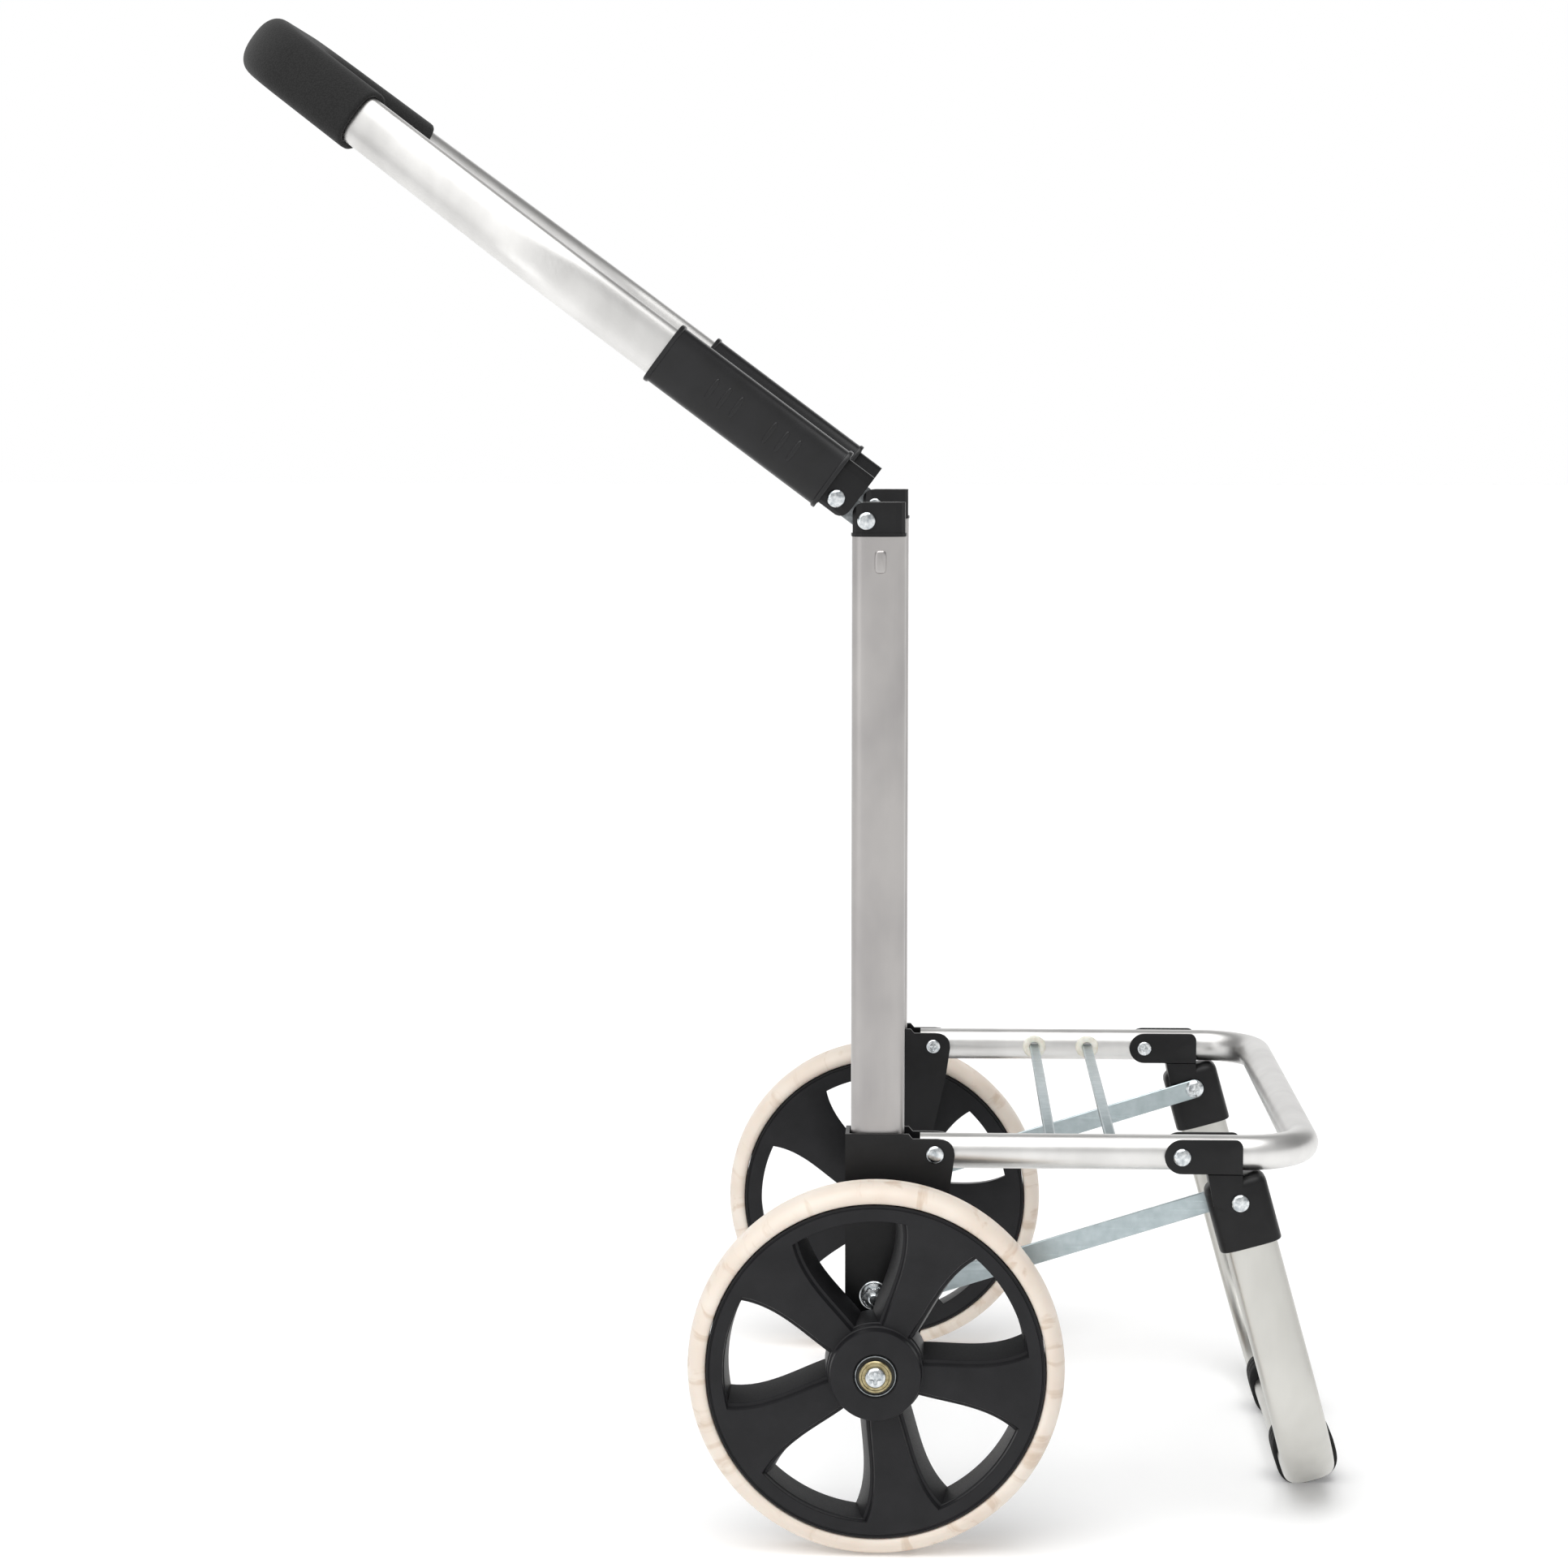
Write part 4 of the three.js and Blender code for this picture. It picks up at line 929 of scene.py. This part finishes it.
def leg_bracket(side, sign):
    bx, bz, cx, cz = LEG_PIVOT.x, LEG_PIVOT.z, SOCKET_PIVOT.x, SOCKET_PIVOT.z
    under = bz - CHEEK_RADIUS
    rings = []
    for pull, z in ((2.2, -25.0), (0.5, -25.0), (0.1, -24.6), (0, -24), (0, 7.5), (0.5, 9.5), (1.6, 11.0),
                    (3.2, 12.2), (5.5, 12.9)):
        rings.append([(x, sign * MAST_Y + y, z) for x, y in oval(34 - 2 * pull, 24 - 2 * pull, 4, 72)])
    piece(f"leg_socket_{side}", rings, CAP_NYLON, "leg", [f"leg_bracket_{side}"], TURN_LEG)
    arm = arc(bx, bz, CHEEK_RADIUS, 270, 90, 18) + arc(bx + 28.5, bz + 5.3, 4, 90, 0, 6)
    arm += [(bx + 32.5, under), (bx + 14, under)]
    for face in (1, -1):
        y = sign * MAST_Y + face * (BRACKET_HALF - CHEEK_THICK / 2)
        outline_block(f"leg_cheek_{side}_{'left' if face > 0 else 'right'}", arm, y - CHEEK_THICK / 2,
                      y + CHEEK_THICK / 2, 0.5, CAP_NYLON, "leg")
    neck = [(bx + 13.8, under - 0.3), (bx + 17, cz - 2), (cx + 2, cz - 8), (bx + 32.5, cz + 4),
            (bx + 32.5, under - 0.3)]
    outline_block(f"leg_neck_{side}", neck, sign * MAST_Y - BRACKET_HALF, sign * MAST_Y + BRACKET_HALF, 0.8,
                  CAP_NYLON, "leg")


def rubber_foot(side, sign):
    drop = Matrix.Rotation(-LEAN, 3, "Y") @ Vector((0, 0, -leg_length))
    centre = SOCKET_PIVOT + drop
    spin = Matrix.Translation((centre.x, sign * FOOT_Y, centre.z)) @ Matrix.Rotation(-LEAN, 4, "Y")
    rings = []
    half = [(4.6, 12.6), (2.0, 13.0), (0.8, 12.7), (0.2, 12.0), (0, 11.0), (0, 4.6), (0.7, 4.2), (0.7, 3.4),
            (0, 3.0)]
    for pull, y in [(pull, -y) for pull, y in half] + half[::-1]:
        ring = [(x if x > 0 else 0.88 * x, y, z)
                for x, z in oval(FOOT_DEEP - 2 * pull, FOOT_TALL - 2 * pull, 3, 72)]
        flat = [spin @ Vector(point) for point in ring]
        rings.append([(x, y_now, max(z, 0.0)) for x, y_now, z in flat])
    piece(f"foot_shoe_{side}", rings, FOOT_RUBBER, "leg", [f"rubber_foot_{side}"], caps=False)


for side, sign in SIDES:
    leg_bracket(side, sign)
    rubber_foot(side, sign)
print("leg brackets and feet")

# %% [markdown]
# ## Brackets and fork caps
# The folded steel brackets and the nylon fork caps already have their true shapes in the CAD model.
# What CAD leaves out is the soft edge that every pressed or moulded part has, which catches a thin
# line of light, so each gets a Bevel modifier and its finish.

# %% Soft edges on the CAD parts
def soft_edges(node, width, material):
    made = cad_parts[node]
    made.data.materials.clear()
    made.data.materials.append(material)
    made.data.polygons.foreach_set("material_index", [0] * len(made.data.polygons))
    made.data.shade_smooth()
    edges = made.modifiers.new("soft_edges", "BEVEL")
    edges.width = width * MM
    edges.segments = 3
    edges.limit_method = "ANGLE"
    edges.angle_limit = math.radians(38)
    edges.harden_normals = True


for side, _ in SIDES:
    soft_edges(f"frame_bracket_{side}", 0.5, POWDER_COAT)
    soft_edges(f"mast_fork_{side}", 0.5, CAP_NYLON)
    soft_edges(f"handle_fork_{side}", 0.5, CAP_NYLON)
print("six CAD parts with soft edges")

# %% Every node has a finish
LEFT = [name for name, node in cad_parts.items() if not node.hide_render and not node.modifiers]
print("nodes still as CAD made them:", LEFT)

# %% [markdown]
# ## Light, floor and camera
# The truck stands on a plain pale floor in a bright room. A wide soft sun overhead and a large soft
# light above and in front lift the tubes, and a second light from the side shapes them. The room is
# white low down all round and behind the truck, and grey higher up at the sides, so that the edges
# of the tubes don't wash out. The camera looks at the right-hand side from a little above.

# %% Floor and lights
def floor_material():
    made, tree, surface, where = start("pale_floor", **{"Roughness": 0.8, "Specular IOR Level": 0.1,
        "Emission Color": "#FFFFFF", "Emission Strength": 0.16})
    tree.links.new(shade(tree, grain(tree, where, 400), "#F1F1F1", "#F6F6F6"), surface.inputs["Base Color"])
    return made


data = bpy.data.meshes.new("floor")
data.from_pydata([(-30, -30, 0), (30, -30, 0), (30, 30, 0), (-30, 30, 0)], [], [(0, 1, 2, 3)])
data.materials.append(floor_material())
floor = bpy.data.objects.new("floor", data)
scene.collection.objects.link(floor)

world = bpy.data.worlds.new("studio")
scene.world = world
world.use_nodes = True
sky = world.node_tree
sky.nodes.clear()
toward = add(sky, "ShaderNodeTexCoord").outputs["Generated"]
parts = add(sky, "ShaderNodeSeparateXYZ", {"Vector": toward})
depth, height = parts.outputs["Y"], parts.outputs["Z"]
share = add(sky, "ShaderNodeMapRange", {"Value": depth, "From Min": -1.0, "From Max": 1.0}).outputs["Result"]
room = add(sky, "ShaderNodeValToRGB", {"Fac": share})
for position, level in ((0.0, 0.64), (0.25, 0.56), (0.50, 0.24), (0.86, 0.34), (0.94, 1.0)):
    stops = room.color_ramp.elements
    stop = stops[0] if position == 0 else stops.new(position)
    stop.position, stop.color = position, (level, level, level, 1)
stops[-1].color = (1, 1, 1, 1)
edge = {"Value": height, "From Min": 0.13, "From Max": 0.2}
above = add(sky, "ShaderNodeMapRange", edge).outputs["Result"]
shell = add(sky, "ShaderNodeMix", {0: above, 6: "#FFFFFF", 7: room.outputs["Color"]}, data_type="RGBA")
glow = add(sky, "ShaderNodeBackground", {"Color": shell.outputs[2], "Strength": 1.0})
sky.links.new(glow.outputs["Background"], add(sky, "ShaderNodeOutputWorld").inputs["Surface"])
scene.view_settings.view_transform = "Standard"

overhead = bpy.data.lights.new("overhead", "SUN")
overhead.energy, overhead.angle = 1.9, math.radians(70)
lamp = bpy.data.objects.new("overhead", overhead)
lamp.rotation_euler = (math.radians(16), math.radians(-12), 0)
scene.collection.objects.link(lamp)


def soft_light(name, spot, target, size, power):
    lamp = bpy.data.lights.new(name, "AREA")
    lamp.shape, lamp.size, lamp.size_y, lamp.energy = "RECTANGLE", size[0], size[1], power
    made = bpy.data.objects.new(name, lamp)
    made.location = spot
    made.rotation_euler = (Vector(target) - Vector(spot)).to_track_quat("-Z", "Y").to_euler()
    scene.collection.objects.link(made)


soft_light("top_light", (0.1, -0.6, 2.4), (0.05, 0, 0.4), (1.6, 1.6), 9)
soft_light("side_light", (-1.8, -1.7, 1.2), (0.05, 0, 0.4), (0.8, 1.8), 4.5)
print("floor, room, sun and two soft lights")

# %% Camera
CAMERA_SPOT, LOOK_DOWN, LOOK_LEFT = (23.16, -2113.94, 602.29), 0.1007, 0.0379
lens = bpy.data.cameras.new("camera")
lens.lens, lens.sensor_width = 83.85, 36.0
lens.clip_start, lens.clip_end = 0.05, 100
camera = bpy.data.objects.new("camera", lens)
camera.location = place([CAMERA_SPOT])[0]
camera.rotation_euler = (math.radians(90) - LOOK_DOWN, 0, LOOK_LEFT)
scene.collection.objects.link(camera)
scene.camera = camera
print("camera at", [round(value, 3) for value in camera.location])
